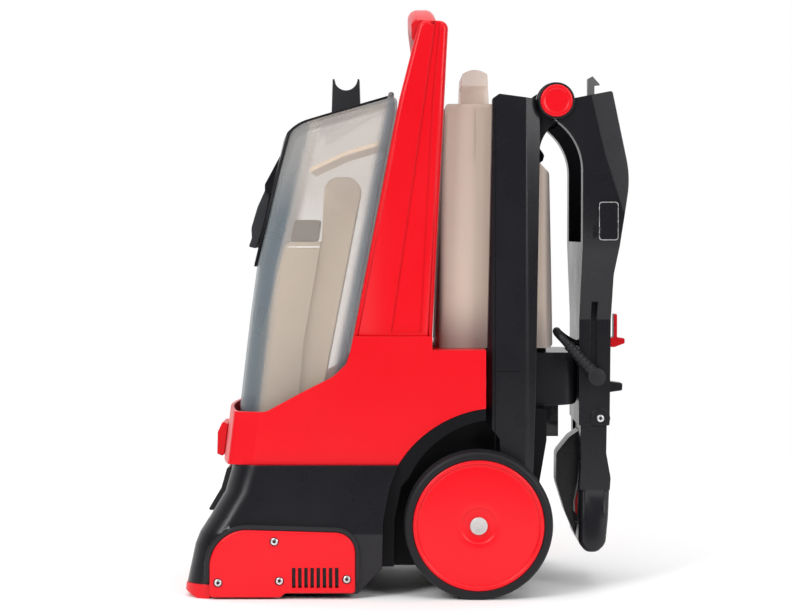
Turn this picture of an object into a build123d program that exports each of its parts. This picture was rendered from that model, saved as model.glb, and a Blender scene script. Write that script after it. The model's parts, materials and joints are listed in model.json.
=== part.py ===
from build123d import *
import math
import os

# An upright carpet cleaning machine with its handle folded down behind it.
# Frame: millimetres, +Z up, floor at z = 0, front towards -X, left side towards -Y.

# Driving dimensions: overall
reach = 269.0             # front lip from the middle of the length
wall = 4.0                # moulded casing wall
running_fit = 0.05        # radial gap of a shaft in its bore
seat_gap = 0.3            # a lift-off piece stands this far from its seat
part_gap = 1.5            # gap between a tank and the walls beside it

# Driving dimensions: wheels and axle
wheel_radius = 88.5
wheel_width = 38.0
wheel_face = 160.0        # outer face of a wheel from the mid plane
hub_radius = 78.0
axle_radius = 8.0
axle_x = 81.5
cap_radius = 10.5
cap_height = 3.5

# Driving dimensions: base, collar and wheel arch
base_half_width = 148.0
base_taper = 10.0         # each side runs in by this much up to the deck
deck_z = 158.0            # top of the base, floor of the tank bay
base_rear_x = -14.0       # rear end of the base at deck height
lip_depth = 31.0
lip_height = 17.0
skirt_z = 6.0             # lower edge of the base sides
cover_depth = 173.0       # side cover, along X
cover_height = 78.0
cover_thickness = 7.0
cover_low_z = 2.5         # lower edge of a side cover at its front
cover_step = 5.0          # the rear part of a side cover ends this much higher
vent_count = 8
vent_width = 4.2
vent_height = 24.0
vent_pitch = 7.3
screw_head_radius = 4.6
screw_shank_radius = 2.0
collar_half_width = 133.0
collar_front_x = -230.0   # bowed front at deck height
collar_rim_z = 221.5      # front rim of the collar
collar_rear_x = 91.0
shelf_z = 295.5           # shelf under the clean tank
seam_z = 312.0            # joint between collar and carry frame
arch_top_z = 225.5
front_bow = 12.0          # how far bowed fronts stand out at the middle
facet_run = 30.0          # flat corner of the collar, along X
facet_in = 11.0           # and along Y
lean = 0.194              # backward lean of the tank and the carry frame, run over rise

# Driving dimensions: carry frame
frame_foot_x = -67.5      # front edge of a pillar at the seam
frame_inner = 101.0
frame_outer = 128.0
frame_rear_x = 27.0
top_z = 711.0
bar_depth = 32.0
bar_height = 30.0
bar_rise = 19.0           # the bar stands this much higher in the middle

# Driving dimensions: recovery tank and its lid
tank_wall = 3.0
tank_half_width = 121.0
tank_corner = 38.0
lid_thickness = 3.5
lid_half_width = 100.0
lid_tongue_half = 56.0    # the lid's front leg is narrower than its crown
lid_flare_drop = 60.0     # the leg widens from this far below the crown's front edge
lid_flare_rise = 22.0     # to the full width this far above it
lid_end_z = 394.0
pin_radius = 1.5
knuckle_radius = 3.2
latch_half_width = 30.0
rest_bore_radius = 14.3

# Driving dimensions: clean tank
clean_half_width = 91.0
clean_rear_x = 174.0
clean_corner = 16.0
clean_top_z = 591.0
grip_top_z = 635.5
grip_depth = 34.0
grip_half_width = 70.0
fill_cap_radius = 22.0
fill_cap_height = 16.0

# Driving dimensions: columns and pivots
column_inner = 94.0
column_outer = 120.0
column_front_x = 95.0
column_rear_x = 152.5
column_foot_z = 80.0
pivot_x = 175.0
pivot_z = 593.0
lug_radius = 23.0
lap_y = 107.0             # the column's lug lies inside this, the arm's eye outside
lap_gap = 0.5
eye_radius = 21.5
eye_face = 124.0
button_radius = 19.3
button_height = 9.0
pivot_pin_radius = 6.0

# Driving dimensions: folding handle
arm_inner_x = 207.0
arm_foot_x = 244.5
arm_bulge_x = 264.0
arm_end_z = 200.0
knee_upper_z = 420.0      # the arms run in from here
knee_lower_z = 330.0
grip_outer = 73.0         # outer face of the grip legs
grip_inner = 47.0
grip_foot_z = 44.0
grip_seam_z = 121.0
grip_bar_height = 32.0
back_thickness = 4.0
inner_cover_thickness = 3.5
inner_cover_top_z = 424.0
trigger_half_width = 16.0
hook_length = 24.5        # the hook stands this far behind the handle
lead_radius = 5.0
relief_length = 52.0

# Driving dimensions: works inside
motor_radius = 52.0
motor_height = 87.0
fan_radius = 48.0
shaft_radius = 5.0
brush_x = -190.0
brush_z = 27.0
brush_radius = 23.0
brush_core_radius = 10.0
brush_end_gap = 2.0       # between the brush and its pulley
brush_pulley_radius = 14.0
motor_pulley_radius = 8.0
drive_motor_x = -110.0
drive_motor_z = 108.0
drive_motor_radius = 30.0
belt_thickness = 2.0


def side_face(points, y, radii=0):
    # A face in the X-Z plane at the given y, with rounded corners where radii are given.
    corners = [Vector(px, y, pz) for px, pz in points]
    if radii:
        return make_face(FilletPolyline(*corners, radius=radii, close=True))
    return make_face(Polyline(*corners, close=True))


def side_solid(points, y_low, y_high, radii=0):
    # The outline in the X-Z plane carried from y_low to y_high.
    return extrude(side_face(points, y_low, radii), amount=y_high - y_low, dir=(0, 1, 0))


def front_solid(points, x_low, x_high):
    # The outline in the Y-Z plane carried from x_low to x_high.
    corners = [Vector(x_low, py, pz) for py, pz in points]
    return extrude(make_face(Polyline(*corners, close=True)), amount=x_high - x_low, dir=(1, 0, 0))


def block(x_low, x_high, y_low, y_high, z_low, z_high):
    size = Box(x_high - x_low, y_high - y_low, z_high - z_low)
    return Pos((x_low + x_high) / 2, (y_low + y_high) / 2, (z_low + z_high) / 2) * size


def disc(radius, x, z, y_low, y_high):
    # A round bar along Y.
    return Pos(x, (y_low + y_high) / 2, z) * Rot(90, 0, 0) * Cylinder(radius, y_high - y_low)


def post(radius, x, y, z_low, z_high):
    return Pos(x, y, (z_low + z_high) / 2) * Cylinder(radius, z_high - z_low)


def plan_face(front_x, rear_x, half_width, bow, corner, z):
    # A plan outline at height z: straight sides, a bowed front and rounded front corners.
    shoulder = front_x + bow
    left = Vector(shoulder, -half_width, z)
    right = Vector(shoulder, half_width, z)
    sides = [
        Line((rear_x, -half_width, z), left),
        ThreePointArc(left, (front_x, 0, z), right) if bow else Line(left, right),
        Line(right, (rear_x, half_width, z)),
        Line((rear_x, half_width, z), (rear_x, -half_width, z)),
    ]
    outline = make_face(sides)
    fronts = [v for v in outline.vertices() if v.X < shoulder + 0.01]
    return fillet(fronts, corner)


def plan_loft(sections, rear_x, bow):
    # Sections are (z, front x, half width, corner radius), from the bottom up.
    faces = [plan_face(x, rear_x, w, bow, corner, z) for z, x, w, corner in sections]
    return loft(faces, ruled=True)


def mirrored(solid):
    return mirror(solid, about=Plane.XZ)


def both_sides(solid):
    return solid + mirrored(solid)


os.makedirs("parts", exist_ok=True)


def save(solid, name):
    export_step(solid, f"parts/{name}.step")


def frame_line(z):
    # The front edge of the carry frame, which the tank and the bay wall follow.
    return frame_foot_x + lean * (z - seam_z)


# Wheels: a dished disc in a rubber tyre
def wheel_pieces():
    inner_face = wheel_face - wheel_width
    tyre = disc(wheel_radius, axle_x, wheel_radius, inner_face, wheel_face)
    tyre = fillet(tyre.edges().filter_by(GeomType.CIRCLE), 5)
    tyre -= disc(hub_radius, axle_x, wheel_radius, inner_face, wheel_face)
    web = 7.0
    rim = 5.0
    boss_radius = 18.0
    groove_radius = hub_radius - 4
    hub = disc(hub_radius, axle_x, wheel_radius, inner_face, wheel_face)
    hub -= disc(hub_radius - rim, axle_x, wheel_radius, inner_face, wheel_face - web)
    hub += disc(boss_radius, axle_x, wheel_radius, inner_face, wheel_face - 1)
    groove = disc(groove_radius, axle_x, wheel_radius, wheel_face - 1.5, wheel_face)
    groove -= disc(groove_radius - 2, axle_x, wheel_radius, wheel_face - 1.5, wheel_face)
    hub -= groove
    hub -= disc(2 * cap_radius, axle_x, wheel_radius, wheel_face - 2, wheel_face)
    hub -= disc(axle_radius + running_fit, axle_x, wheel_radius, inner_face, wheel_face)
    return tyre, hub


tyre_right, hub_right = wheel_pieces()
save(tyre_right, "tyre_right")
save(hub_right, "wheel_right")
save(mirrored(tyre_right), "tyre_left")
save(mirrored(hub_right), "wheel_left")

axle_end = wheel_face - 2 + seat_gap
axle = disc(axle_radius, axle_x, wheel_radius, -axle_end, axle_end)
save(axle, "axle")
axle_cap = disc(cap_radius, axle_x, wheel_radius, axle_end, axle_end + cap_height)
axle_cap = fillet(axle_cap.faces().sort_by(Axis.Y)[-1].edges(), 1.2)
save(both_sides(axle_cap), "axle_caps")

# Base: a hollow black casing, open below, with a steep front and tapering shoulders
base_corner = 34.0
shoulder_z = 77.0
front_line = [(lip_height, 1.5), (62.0, 11.0), (shoulder_z, 17.0), (97.0, 30.0), (125.5, 47.0), (150.0, 54.0)]
rear_line = [
    (base_rear_x, deck_z),
    (base_rear_x - 10, 132.0),
    (base_rear_x - 18, 92.0),
    (base_rear_x - 19, 36.0),
]


def front_x(z):
    # The hollow curve of the base's front, from the straight steps of front_line.
    for (low_z, low_back), (high_z, high_back) in zip(front_line, front_line[1:]):
        if z <= high_z:
            return -reach + low_back + (high_back - low_back) * (z - low_z) / (high_z - low_z)
    return -reach + front_line[-1][1]


def base_form(inset):
    # The casing's outer form, or its hollow when inset by the wall.
    waist = base_half_width - inset
    corner = base_corner - inset
    sections = [(skirt_z - 2 * inset, front_x(lip_height) + inset, waist, corner)]
    for z, back in front_line:
        taper = base_taper * max(0, z - shoulder_z) / (deck_z - shoulder_z)
        sections.append((z, -reach + back + inset, waist - taper, corner))
    sections.append((deck_z - inset, front_x(deck_z) + 2 + inset, waist - base_taper, corner))
    return plan_loft(sections, base_rear_x + 30, 0)


def behind_base(inset):
    # What lies behind the curved rear end of the base, over its whole width.
    rear = [(base_rear_x - inset, deck_z + 60)]
    rear += [(x - inset, z) for x, z in rear_line]
    rear += [(base_rear_x - 48 - inset, skirt_z), (base_rear_x - 48 - inset, -60.0)]
    rear += [(base_rear_x + 90, -60.0), (base_rear_x + 90, deck_z + 60)]
    return side_solid(rear, -200, 200)


cover_front_x = -reach + lip_depth
screw_places = [
    (cover_front_x + 10, skirt_z + 14),
    (cover_front_x + 77, skirt_z + 63),
    (cover_front_x + 83, skirt_z + 16),
    (cover_front_x + cover_depth - 10, skirt_z + 18),
]

cover_rear_x = cover_front_x + cover_depth
cover_step_x = cover_front_x + 84
cover_corners = [
    (cover_front_x, cover_low_z),
    (cover_front_x, skirt_z + cover_height),
    (cover_rear_x, skirt_z + cover_height - 5),
    (cover_rear_x, cover_low_z + cover_step),
    (cover_step_x + cover_step + 1, cover_low_z + cover_step),
    (cover_step_x, cover_low_z),
]
cover_radii = [4, 44, 24, 4, 4, 4]
rim_width = 5.0
rim_height = 4.0
rim_gap = 0.4

base_shell = base_form(0) - behind_base(0)
base_shell -= base_form(wall) - behind_base(wall)

# A raised rim frames each side cover
cover_side = side_face(cover_corners, base_half_width - 6, cover_radii)
rim_face = offset(cover_side, amount=rim_gap + rim_width) - offset(cover_side, amount=rim_gap)
cover_rim = extrude(rim_face, amount=rim_height + 6, dir=(0, 1, 0))
cover_rim -= block(-reach - 20, 0, 0, 200, -20, lip_height + 3)
base_shell += both_sides(cover_rim)
base_shell -= block(-reach - 20, cover_front_x, -200, 200, -20, lip_height)
for screw_x, screw_z in screw_places:
    base_shell -= disc(screw_shank_radius, screw_x, screw_z, -200, 200)
base_shell -= disc(shaft_radius + running_fit, brush_x, brush_z, -200, 200)
save(base_shell, "base_shell")

# Front lip with the suction slot; its sole rests on the floor
lip_profile = [
    (-reach + 16, 0),
    (-reach, 8),
    (front_x(lip_height), lip_height),
    (cover_front_x, lip_height),
    (cover_front_x, 0),
]
slot_x = -reach + 18.5
slot_width = 5.0
suction_lip = side_solid(lip_profile, -base_half_width, base_half_width)
lip_plan = plan_face(-reach - 1, cover_front_x + 20, base_half_width, 0, base_corner, -1)
suction_lip = suction_lip & extrude(lip_plan, amount=lip_height + 2, dir=(0, 0, 1))
slot_half = base_half_width - base_corner + 10
suction_lip -= block(slot_x, slot_x + slot_width, -slot_half, slot_half, -1, lip_height + 1)
save(suction_lip, "suction_lip")

# Suction duct: a plate that follows the hollow front of the base
duct_stand = 7.0
duct_half = 85.0
duct_levels = [98.0, 111.0, 125.5, 138.0, 150.0]
duct_back = [(front_x(z), z) for z in duct_levels]
duct_front = [(front_x(z) - duct_stand, z) for z in reversed(duct_levels)]
nozzle_duct = side_solid(duct_back + duct_front, -duct_half, duct_half, [0, 0, 0, 0, 0, 3, 0, 0, 0, 2])
save(nozzle_duct, "nozzle_duct")

# Side covers, with vent slots and four screws each
cover_face = base_half_width + cover_thickness
side_cover = side_solid(cover_corners, base_half_width, cover_face, cover_radii)
side_cover = fillet(side_cover.faces().sort_by(Axis.Y)[-1].edges(), 2)
vent_start_x = cover_front_x + 98
vent_low_z = skirt_z + 8
for vent in range(vent_count):
    vent_x = vent_start_x + vent * vent_pitch
    side_cover -= block(
        vent_x, vent_x + vent_width, base_half_width, cover_face, vent_low_z, vent_low_z + vent_height
    )
head_seat = cover_face - 2.0
for screw_x, screw_z in screw_places:
    side_cover -= disc(screw_head_radius + 0.8, screw_x, screw_z, head_seat, cover_face)
    side_cover -= disc(screw_shank_radius, screw_x, screw_z, base_half_width, cover_face)
save(side_cover, "side_cover_right")
save(mirrored(side_cover), "side_cover_left")

screws = []
for screw_x, screw_z in screw_places:
    head = disc(screw_head_radius, screw_x, screw_z, head_seat, cover_face)
    head = fillet(head.faces().sort_by(Axis.Y)[-1].edges(), 1.0)
    shank = disc(screw_shank_radius, screw_x, screw_z, base_half_width - wall - 3, head_seat)
    screws += [head + shank, mirrored(head + shank)]
save(Compound(children=screws), "cover_screws")


# Wheel arch line, shared by the collar and the rear chassis
def arch_edge(y, drop, x_shift=0.0):
    low = Vector(base_rear_x + x_shift, y, deck_z - drop)
    middle = Vector(base_rear_x + 45 + x_shift / 2, y, deck_z + 46 - drop)
    high = Vector(collar_rear_x, y, arch_top_z - drop)
    return low, middle, high


# Collar: the red middle casing with the tank bay in front and the motor space behind
def collar_plan(front, z, inset):
    # A bowed front, a flat facet on each corner and straight sides.
    half = collar_half_width - inset
    shoulder = front + front_bow
    rear = collar_rear_x - inset
    left = [Vector(rear, -half, z), Vector(shoulder + facet_run, -half, z)]
    left.append(Vector(shoulder, facet_in - half, z))
    right = [Vector(v.X, -v.Y, z) for v in reversed(left)]
    bow = ThreePointArc(left[-1], (front, 0, z), right[0])
    outline = make_face([Polyline(*left), bow, Polyline(*right), Line(right[-1], left[0])])
    creases = [v for v in outline.vertices() if v.X < rear - 1]
    return fillet(creases, 8)


def collar_form(inset, low_z, high_z):
    levels = [(low_z, 0), (collar_rim_z, 8), (high_z, 18)]
    return loft([collar_plan(collar_front_x + back + inset, z, inset) for z, back in levels], ruled=True)


above_collar = [
    (collar_front_x - 40, collar_rim_z),
    (-172, collar_rim_z),
    (-128, collar_rim_z + 24),
    (-92, collar_rim_z + 42),
    (frame_line(279) - 2, 279),
    (frame_line(295), 295),
    (frame_foot_x, seam_z),
    (frame_rear_x, seam_z),
    (frame_rear_x, shelf_z),
    (collar_rear_x + 40, shelf_z),
    (collar_rear_x + 40, 420),
    (collar_front_x - 40, 420),
]
collar_form_outer = collar_form(0, deck_z, seam_z + 10)
rim_radii = [0, 18, 60, 40, 10] + [0] * 7
collar_body = collar_form_outer - side_solid(above_collar, -200, 200, rim_radii)
arch_low, arch_middle, arch_high = arch_edge(-200, 0)
under_arch = make_face(
    [
        ThreePointArc(arch_low, arch_middle, arch_high),
        Line(arch_high, arch_high + Vector(40, 0, 0)),
        Line(arch_high + Vector(40, 0, 0), Vector(arch_high.X + 40, -200, deck_z - 20)),
        Line(Vector(arch_high.X + 40, -200, deck_z - 20), Vector(arch_low.X, -200, deck_z - 20)),
        Line(Vector(arch_low.X, -200, deck_z - 20), arch_low),
    ]
)
collar_body -= extrude(under_arch, amount=400, dir=(0, 1, 0))
collar_hollow = collar_form(wall, deck_z - 30, seam_z + 30)
bay = [
    (collar_front_x - 40, deck_z - 40),
    (frame_line(deck_z - 40), deck_z - 40),
    (frame_line(seam_z + 40), seam_z + 40),
    (collar_front_x - 40, seam_z + 40),
]
motor_space = [
    (frame_line(deck_z - 40) + wall, deck_z - 40),
    (frame_line(seam_z - wall) + wall, seam_z - wall),
    (frame_rear_x - wall, seam_z - wall),
    (frame_rear_x - wall, shelf_z - wall),
    (collar_rear_x - wall, shelf_z - wall),
    (collar_rear_x - wall, deck_z - 40),
]
collar_body -= collar_hollow & side_solid(bay, -200, 200)
collar_body -= collar_hollow & side_solid(motor_space, -200, 200)
save(collar_body, "collar_body")

# Rear chassis: a tub between the wheels with wheel arch flanges
tub_wall_y = column_inner
tub_floor_z = 32.0
tub_rear_x = column_rear_x
motor_deck_z = 118.0
fairing_x = tub_rear_x + 13.5
fairing_top_z = 222.0
tub_low, tub_middle, tub_high = arch_edge(-tub_wall_y, 0)
tub_back = [
    (tub_rear_x, arch_top_z),
    (tub_rear_x, fairing_top_z),
    (fairing_x, fairing_top_z),
    (fairing_x, 184.0),
    (fairing_x - 9, 130.0),
    (tub_rear_x, 100.0),
    (tub_rear_x, tub_floor_z),
    (rear_line[-1][0], tub_floor_z),
]
tub_way = [Vector(x, -tub_wall_y, z) for x, z in tub_back + rear_line[:0:-1]]
tub_face = make_face([ThreePointArc(tub_low, tub_middle, tub_high), Polyline(tub_high, *tub_way, tub_low)])
rear_chassis = extrude(tub_face, amount=2 * tub_wall_y, dir=(0, 1, 0))
inner_y = tub_wall_y - wall
tub_front_x = base_rear_x + wall
rear_chassis -= block(tub_front_x, tub_rear_x - wall, -inner_y, inner_y, motor_deck_z, arch_top_z + 30)
rear_chassis -= block(tub_front_x, tub_rear_x - wall, -inner_y, inner_y, tub_floor_z - 10, motor_deck_z - 6)
fairing_hollow = [
    (tub_rear_x - wall - 1, fairing_top_z - wall),
    (fairing_x - wall, fairing_top_z - wall),
    (fairing_x - wall, 184.5),
    (fairing_x - 9 - wall, 131.0),
    (tub_rear_x - wall - 1, 105.0),
]
rear_chassis -= side_solid(fairing_hollow, -inner_y, inner_y)
for side in (-1, 1):
    boss_low = min(side * (inner_y - 16), side * (tub_wall_y + 10))
    rear_chassis += disc(axle_radius + 9, axle_x, wheel_radius, boss_low, boss_low + 26 + wall)
rear_chassis -= disc(axle_radius + 0.02, axle_x, wheel_radius, -200, 200)
flange_width = 38.0
arch_band = 14.0
outer_low, outer_middle, outer_high = arch_edge(tub_wall_y, 0)
inner_low, inner_middle, inner_high = arch_edge(tub_wall_y, arch_band, arch_band)
band_down = [Vector(x + arch_band, tub_wall_y, z) for x, z in rear_line[1:]]
band_up = [Vector(x, tub_wall_y, z) for x, z in rear_line[:0:-1]]
flange_face = make_face(
    [
        ThreePointArc(outer_low, outer_middle, outer_high),
        Line(outer_high, inner_high),
        ThreePointArc(inner_high, inner_middle, inner_low),
        Polyline(inner_low, *band_down, *band_up, outer_low),
    ]
)
rear_chassis += both_sides(extrude(flange_face, amount=flange_width, dir=(0, 1, 0)))
save(rear_chassis, "rear_chassis")

# Carry frame: two leaning pillars joined by the carrying bar
pillar_bend_z = 596.0
pillar_head_x = frame_line(pillar_bend_z) + 24
pillar_profile = [
    (frame_foot_x, seam_z),
    (frame_line(pillar_bend_z), pillar_bend_z),
    (pillar_head_x, top_z - 21),
    (frame_rear_x + 19, top_z - 24),
    (frame_rear_x + 13.5, 593),
    (frame_rear_x, seam_z),
]
pillar = side_solid(pillar_profile, frame_inner, frame_outer, [0, 60, 12, 10, 80, 0])
pillar = fillet(pillar.faces().sort_by(Axis.Y)[-1].edges().filter_by(Axis.X, reverse=True), 6)
panel_bend_z = pillar_bend_z - 1
panel_head_inset = 19.236
panel = [
    (frame_foot_x + 45, seam_z + 4),
    (frame_line(panel_bend_z) + 29.5, panel_bend_z),
    (pillar_head_x + panel_head_inset, top_z - 21),
    (frame_rear_x + 10, top_z - 21),
    (frame_rear_x + 1, panel_bend_z),
    (frame_rear_x - 13.5, seam_z + 4),
]
panel_depth = 2.0
pillar -= side_solid(panel, frame_outer - panel_depth, frame_outer + 1, [0, 40, 2, 2, 40, 0])
bar_end = Vector(frame_rear_x - 9, frame_outer - 14, top_z - bar_rise - bar_height / 2 - 2)
bar_middle = Vector(frame_rear_x - 13, 0, top_z - bar_height / 2)
bar_path = ThreePointArc((bar_end.X, -bar_end.Y, bar_end.Z), bar_middle, bar_end)
bar_plane = Plane(origin=bar_path @ 0, z_dir=bar_path % 0, x_dir=(1, 0, 0))
bar_section = bar_plane * RectangleRounded(bar_depth, bar_height, 11)
carry_bar = sweep(bar_section, path=bar_path)
carry_frame = pillar + mirrored(pillar) + carry_bar
save(carry_frame, "carry_frame")

# Web plate between the pillars
web_offset = 22.0
web_top_z = 560.0
web_profile = [
    (frame_foot_x + web_offset, seam_z),
    (frame_line(web_top_z) + web_offset, web_top_z),
    (frame_line(web_top_z) + web_offset + wall, web_top_z),
    (frame_foot_x + web_offset + wall, seam_z),
]
save(side_solid(web_profile, -frame_inner, frame_inner), "frame_web")

# Recovery tank: a thin clear shell that leans back and narrows upwards
tank_floor_z = deck_z + seat_gap
tank_fronts = [
    (tank_floor_z, -204.5),
    (222.0, -210.5),
    (336.0, -197.0),
    (398.0, -188.5),
    (451.0, -175.5),
    (535.0, -155.5),
    (640.0, -131.0),
]
crown_front_z = 560.5
crown_rear_z = 600.0
front_proud = 0.5


def tank_form(inset):
    floor_z = tank_fronts[0][0] + inset
    sections = []
    for level, (z, x) in enumerate(tank_fronts):
        height = floor_z if level == 0 else z
        half = tank_half_width - 0.012 * (z - tank_floor_z) - inset
        sections.append((height, x + inset, half, tank_corner - inset))
    return plan_loft(sections, 60, front_bow)


def tank_front(z):
    # The front of the tank at its middle, at a height.
    for (low_z, low_x), (high_z, high_x) in zip(tank_fronts, tank_fronts[1:]):
        if z <= high_z:
            return low_x + (high_x - low_x) * (z - low_z) / (high_z - low_z)
    return tank_fronts[-1][1]


def tank_outline():
    # Side view: front line just proud of the form, rounded crown, leaning rear wall.
    points = [(frame_line(100) - part_gap, 100), (-260, 100), (-260, 330)]
    points += [(tank_front(z) - front_proud, z) for z in (390, 451, crown_front_z)]
    points.append((frame_line(crown_rear_z) - part_gap, crown_rear_z))
    return side_face(points, -200, [0, 0, 0, 0, 40, 50, 6])


tank_side = tank_outline()


def tank_skin(inset):
    # The whole tank as one solid, inset by a wall or grown by a gap.
    side = offset(tank_side, amount=-inset) if inset else tank_side
    return tank_form(inset) & extrude(side, amount=400, dir=(0, 1, 0))


tank_hollow = tank_skin(tank_wall)
recovery_tank = tank_skin(0) - tank_hollow
mouth_half = 34.0
above_tank_z = crown_rear_z + 100
recovery_tank -= block(-125, -58, -mouth_half, mouth_half, crown_front_z - 20.5, above_tank_z)
crown_run = frame_line(crown_rear_z) - part_gap - tank_front(crown_front_z) + front_proud
crown_slope = math.atan2(crown_rear_z - crown_front_z, crown_run)
hinge_back = 9.0
hinge_x = frame_line(crown_rear_z) - part_gap - hinge_back
hinge_lift = (knuckle_radius + seat_gap + 0.1) / math.cos(crown_slope)
hinge_z = crown_rear_z - hinge_back * math.tan(crown_slope) + hinge_lift
ear_gap = 0.5
ear_width = 5.0
ear = side_solid(
    [
        (hinge_x - knuckle_radius - 3, crown_rear_z - 8),
        (hinge_x - knuckle_radius, hinge_z + knuckle_radius),
        (hinge_x + knuckle_radius, hinge_z + knuckle_radius),
        (hinge_x + knuckle_radius, crown_rear_z - 8),
    ],
    lid_half_width + ear_gap,
    lid_half_width + ear_gap + ear_width,
    [0, 3, 3, 0],
)
recovery_tank += both_sides(ear - tank_hollow)
recovery_tank -= disc(pin_radius + 0.02, hinge_x, hinge_z, -200, 200)
save(recovery_tank, "recovery_tank")
pin_half = lid_half_width + ear_gap + ear_width
save(disc(pin_radius, hinge_x, hinge_z, -pin_half, pin_half), "lid_pin")

# Lid: a thin cover over the crown and down the front, hinged at the rear
lid_outer = tank_skin(-seat_gap - lid_thickness)
lid_inner = tank_skin(-seat_gap)
lid_span = block(-230, hinge_x + 0.5, -lid_half_width, lid_half_width, lid_end_z, above_tank_z)
lid_span -= block(-70, 60, -200, 200, 300, crown_rear_z - 20)
lid_flare = front_solid(
    [
        (lid_tongue_half, lid_end_z - 1),
        (lid_tongue_half, crown_front_z - lid_flare_drop),
        (lid_half_width, crown_front_z + lid_flare_rise),
        (200, crown_front_z + lid_flare_rise),
        (200, lid_end_z - 1),
    ],
    -230,
    0,
)
lid_span -= both_sides(lid_flare)
tank_lid = (lid_outer - lid_inner) & lid_span
tank_lid += disc(knuckle_radius, hinge_x, hinge_z, -lid_half_width, lid_half_width)
latch_z = 488.0
latch_eye = 3.5
latch_pin_radius = 1.6
latch_front = tank_front(latch_z) - seat_gap - lid_thickness
latch_x = latch_front - latch_eye - 0.9
latch_ear_half = latch_half_width + ear_gap + ear_width
lid_fairing = side_solid(
    [
        (latch_front + 13, latch_z + 46),
        (latch_x - latch_eye, latch_z + 7),
        (latch_x - latch_eye, latch_z - 4),
        (latch_front + 8, latch_z - 4),
    ],
    -latch_ear_half,
    latch_ear_half,
    [0, 3, 3, 0],
)
latch_room = latch_half_width + ear_gap
fairing_low_z = latch_z + latch_eye + 0.6
lid_fairing -= block(latch_x - 40, latch_x + 40, -latch_room, latch_room, latch_z - 40, fairing_low_z)
tank_lid += lid_fairing - lid_inner
tank_lid -= disc(pin_radius + running_fit, hinge_x, hinge_z, -200, 200)
tank_lid += disc(latch_pin_radius, latch_x, latch_z, -latch_ear_half, latch_ear_half)
save(tank_lid, "tank_lid")

# Latch handle on the front of the lid
latch_profile = [
    (latch_x - latch_eye, latch_z),
    (latch_x - 13, latch_z - 21),
    (latch_x - 20.7, latch_z - 47),
    (latch_x - 20, latch_z - 59),
    (latch_x - 24, latch_z - 70),
    (latch_x - 15, latch_z - 72),
    (latch_x - 6, latch_z - 47),
    (latch_x + latch_eye, latch_z),
]
lid_latch = side_solid(latch_profile, -latch_half_width, latch_half_width, [0, 30, 20, 8, 2, 2, 0, 0])
lid_latch += disc(latch_eye, latch_x, latch_z, -latch_half_width, latch_half_width)
lid_latch -= tank_skin(-seat_gap - lid_thickness - 0.6)
lid_latch -= disc(latch_pin_radius + running_fit, latch_x, latch_z, -200, 200)
save(lid_latch, "lid_latch")

# Hose rest: a cradle standing on the lid
rest_x = -78.5
rest_top_half = 16.5
rest_foot_half = 18.5
rest_top_z = 625.5
rest_half = 22.0
rest_profile = [
    (rest_x - rest_foot_half, 560),
    (rest_x - rest_top_half, rest_top_z),
    (rest_x + rest_top_half, rest_top_z),
    (rest_x + rest_foot_half, 560),
]
hose_rest = side_solid(rest_profile, -rest_half, rest_half)
hose_rest -= disc(rest_bore_radius, rest_x, rest_top_z + 0.5, -100, 100)
hose_rest -= lid_outer
save(hose_rest, "hose_rest")

# Inside the recovery tank: intake duct, air duct with a rounded head, baffle and float
inside_z = tank_floor_z + tank_wall
intake_half = 46.0
duct_fronts = [(-142.5, inside_z), (-130, 300), (-108.5, 424)]
intake_rears = [(x - seat_gap, z) for x, z in reversed(duct_fronts)]
intake_profile = [(-194, inside_z), (-186, 300), (-152, 424)] + intake_rears
intake_side = side_face(intake_profile, -intake_half, [0, 40, 10, 3, 40, 0])


def duct(side, half):
    # A hollow duct of the given side view, closed all round.
    bore = extrude(offset(side, amount=-tank_wall), amount=2 * half, dir=(0, 1, 0))
    bore = bore & block(-250, 0, tank_wall - half, half - tank_wall, 0, above_tank_z)
    return extrude(side, amount=2 * half, dir=(0, 1, 0)) - bore


intake_duct = duct(intake_side, intake_half)
intake_duct -= block(-130, -100, -30, 30, 370, 402)
save(intake_duct, "intake_duct")
air_half = 38.0
air_top_z = 504.0
air_rear_gap = 26.0
air_profile = duct_fronts + [
    (-104, air_top_z),
    (frame_line(air_top_z) - air_rear_gap, air_top_z),
    (frame_line(inside_z) - air_rear_gap, inside_z),
]
air_side = side_face(air_profile, -air_half, [0, 40, 20, 18, 18, 0])
air_duct = duct(air_side, air_half)
air_duct -= block(-115, -95, -24, 24, 460, 488)
save(air_duct, "air_duct")
baffle_points = [(-120, 508), (-120, 513), (-77, 533), (-31, 546.5), (-31, 541.5), (-77, 528)]
baffle_half = tank_half_width - 0.012 * (500 - tank_floor_z) - tank_wall
baffle = side_solid(baffle_points, -baffle_half + 0.7, baffle_half - 0.7)
save(baffle, "baffle")
float_low_z = 424.0 + seat_gap
float_block = side_solid(
    [(-148, float_low_z), (-142, float_low_z + 27), (-110, float_low_z + 27), (-114, float_low_z)],
    -30,
    30,
    4,
)
save(float_block, "float_block")

# Clean tank: a taller shell between the columns, with a grip on top and a sloping rear shoulder
clean_floor_z = shelf_z + seat_gap
clean_front_x = frame_rear_x + part_gap + 2
shoulder_x = 100.0
shoulder_low = (clean_rear_x - 5, 508.0)


def clean_outline(inset):
    points = [
        (clean_front_x + inset, clean_floor_z + inset),
        (clean_front_x + 12.5 + inset, clean_top_z - inset),
        (shoulder_x, clean_top_z - inset),
        (shoulder_low[0] - 10 - inset, shoulder_low[1] + 10),
        (shoulder_low[0] - inset, shoulder_low[1]),
        (clean_rear_x - inset, clean_floor_z + 4 + inset),
        (clean_rear_x - 4 - inset, clean_floor_z + inset),
    ]
    return points


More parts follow.
